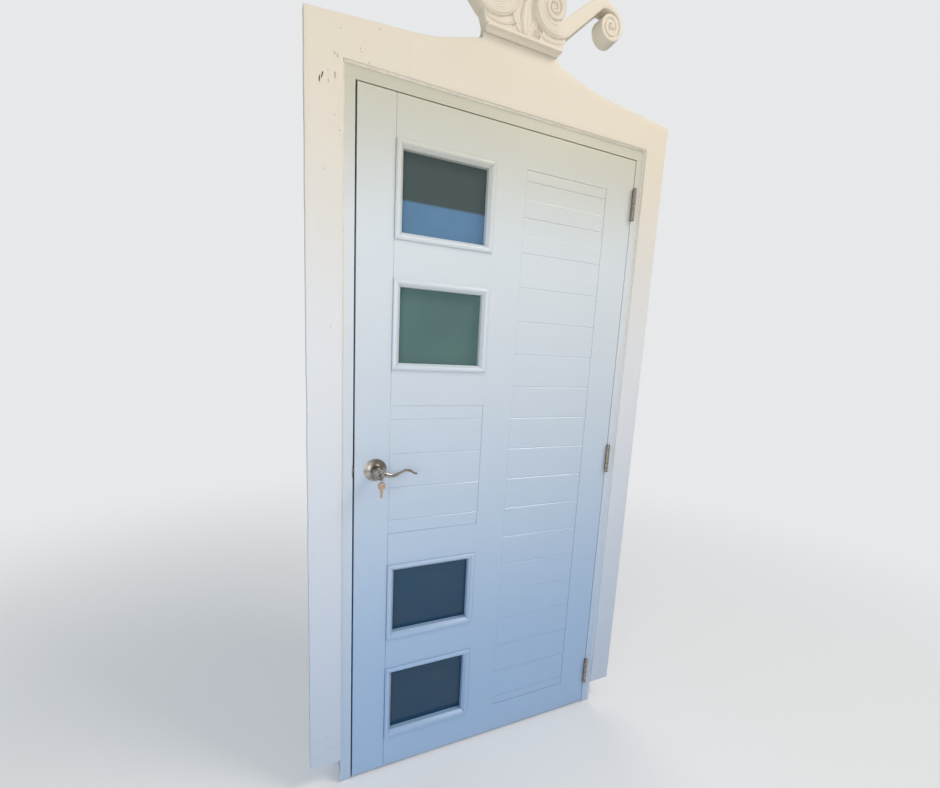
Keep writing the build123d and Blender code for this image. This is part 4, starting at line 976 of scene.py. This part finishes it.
def screw_seats(node_name):
    """A point at the middle of each head, with the direction that the head faces."""
    seats = bpy.data.meshes.new(node_name + "_seats")
    spots, ways = [], []
    for group in islands(node_name):
        low = Vector([min(p[i] for p in group) for i in range(3)])
        high = Vector([max(p[i] for p in group) for i in range(3)])
        middle = (low + high) / 2
        axis = max(range(3), key=lambda i: (high - low)[i])
        others = [i for i in range(3) if i != axis]

        def spread(at):
            near = [p for p in group if abs(p[axis] - at) < 0.0004]
            return max((abs(p[i] - middle[i]) for p in near for i in others), default=0.0)

        head = high[axis] if spread(high[axis]) > spread(low[axis]) else low[axis]
        way = Vector((0, 0, 0))
        way[axis] = 1.0 if head == high[axis] else -1.0
        middle[axis] = head
        spots.append(middle)
        ways.append(way)
    seats.from_pydata([tuple(p) for p in spots], [], [])
    facing = seats.attributes.new("facing", "FLOAT_VECTOR", "POINT")
    facing.data.foreach_set("vector", [v for way in ways for v in way])
    return seats


# One screw, head up at the origin: its profile from the tip, then the cross recess.
shape = bmesh.new()
shank, head_radius, tip_depth = 0.0020, 0.0041, -0.0150
profile = [(0.0012, -0.0135), (shank, -0.0110), (shank, -0.0026), (head_radius, -0.0004),
           (head_radius, -0.0001), (head_radius - 0.0003, 0.0)]
rows = []
for reach, depth in profile:
    rows.append([shape.verts.new((u, w, depth)) for u, w in circle(reach, 24)])
tip = shape.verts.new((0, 0, tip_depth))
for low, high in zip(rows[0], rows[0][1:] + rows[0][:1]):
    shape.faces.new((tip, high, low))
skin(shape, rows)
arm, slot_half, sink, taper = 0.0023, 0.00042, -0.0013, 0.62
cross = []
for quarter in range(4):
    turn = Matrix.Rotation(pi / 2 * quarter, 2)
    cross += [turn @ Vector(p) for p in ((arm, -slot_half), (arm, slot_half), (slot_half, slot_half))]
top_ring = [shape.verts.new((p.x, p.y, 0.0)) for p in cross]
low_ring = [shape.verts.new((p.x * taper, p.y * taper, sink)) for p in cross]
skin(shape, [top_ring, low_ring], 0)
shape.faces.new(low_ring)
brim = rows[-1] + top_ring
rim = [e for e in shape.edges if all(v in brim for v in e.verts) and len(e.link_faces) == 1]
bmesh.ops.triangle_fill(shape, edges=rim, use_beauty=True)
screw = put("screw_pattern", closed_mesh(shape, "screw"))
screw_metal = metal("screw_plate", (0.52, 0.47, 0.40, 1), (0.34, 0.28, 0.22, 1), 0.30, 260.0,
                    (700.0, 700.0, 700.0))
setting = Maker("screws_on_seats", {"Geometry": "NodeSocketGeometry", "Screw": "NodeSocketObject",
                                    "Turn": number})
named = setting.add("GeometryNodeInputNamedAttribute", {"Name": "facing"}, data_type="FLOAT_VECTOR")
square = setting.add("FunctionNodeAlignRotationToVector", {"Vector": named.outputs[0]}, axis="Z")
index = setting.add("GeometryNodeInputIndex").outputs[0]
own_turn = setting.maths("MULTIPLY", index, setting.given("Turn"))
spin = setting.add("ShaderNodeCombineXYZ", {"Z": own_turn})
turned = setting.add("FunctionNodeRotateRotation", {"Rotation": square.outputs[0],
                                                    "Rotate By": spin.outputs[0]}, rotation_space="LOCAL")
one = setting.add("GeometryNodeObjectInfo", {"Object": setting.given("Screw"), "As Instance": True})
set_screws = setting.add("GeometryNodeInstanceOnPoints", {"Points": setting.given("Geometry"),
                                                         "Instance": one.outputs["Geometry"],
                                                         "Rotation": turned.outputs[0]})
setting.close(set_screws.outputs[0], screw_metal)
for name in ("jamb_screws", "leaf_screws"):
    finished = setting.make(name + "_finished", screw_seats(name), Screw=screw, Turn=0.7)
    add_piece(name + "_finished", finished, screw_metal, body_of[name], [name])
bpy.data.objects.remove(screw)

# Lock: a tubular latch in the leaf's edge with a stepped rose each side, all plated satin nickel.
# The roses are spun, so their brushing runs round. The cylinder is a lighter nickel, a painted highlight.
nickel = metal("satin_nickel", (0.47, 0.44, 0.41, 1), (0.22, 0.185, 0.155, 1), 0.24, 34.0,
               (60.0, 900.0, 900.0))
lock_metal = metal("latch_steel", (0.55, 0.53, 0.49, 1), (0.42, 0.39, 0.35, 1), 0.30, 90.0,
                   (900.0, 900.0, 90.0))
# The lock cylinder's lighter nickel is a painted highlight, standing in for the bright ring at the hub's end.
nickel_with_painted_highlight = metal("nickel_with_painted_highlight", (0.76, 0.73, 0.69, 1), (0.52, 0.49, 0.45, 1), 0.20, 60.0,
                      (900.0, 900.0, 900.0))
eased("lock_cylinder", nickel_with_painted_highlight, 0.0004, angle=30.0)
for name in ("outer_rose", "inner_rose", "key_plug", "turn_button"):
    eased(name, nickel, 0.0004, angle=30.0)
for name in ("outer_lever", "inner_lever"):
    eased(name, nickel, 0.0005, angle=40.0)
for name in ("latch_bolt", "latch_faceplate", "strike_plate", "latch_case"):
    eased(name, lock_metal, 0.0003)
for name in ("lock_chassis", "spindle"):
    only_material(nodes[name].data, lock_metal)

# Keys: two stamped keys, one of dulled plated steel in the plug and a brass spare on the ring,
# both worn on the edges. The ring is two turns of darkened spring steel.
brass = metal("worn_brass", (0.74, 0.55, 0.39, 1), (0.60, 0.42, 0.29, 1), 0.30, 150.0,
              (900.0, 120.0, 900.0))
dull_plate = metal("dull_key_plate", (0.36, 0.335, 0.31, 1), (0.20, 0.18, 0.165, 1), 0.28, 150.0,
                   (900.0, 120.0, 900.0))
ring_steel = metal("ring_steel", (0.30, 0.285, 0.27, 1), (0.17, 0.155, 0.145, 1), 0.24, 150.0,
                   (900.0, 900.0, 900.0))
eased("key_in_plug", dull_plate, 0.0003)
eased("key_ring", ring_steel, 0.0003)
eased("spare_key", brass, 0.0003)

# Weatherstrips: flat strips of soft pale rubber, stuck to the faces of the stops, one up each leg
# and one along the head.
seal_rubber, tree = new_material("seal_rubber")
place = object_place(tree)
greyed = ramp(tree, grain(tree, place, 30.0), 0.35, 0.65)
tone = blend(tree, greyed, (0.62, 0.61, 0.58, 1), (0.50, 0.49, 0.46, 1))
surface(tree, Base_Color=tone, Roughness=0.65, Normal=relief(tree, grain(tree, place, 500.0), 0.0002, 0.4))
eased("weatherstrips", seal_rubber, 0.0002)

low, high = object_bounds()
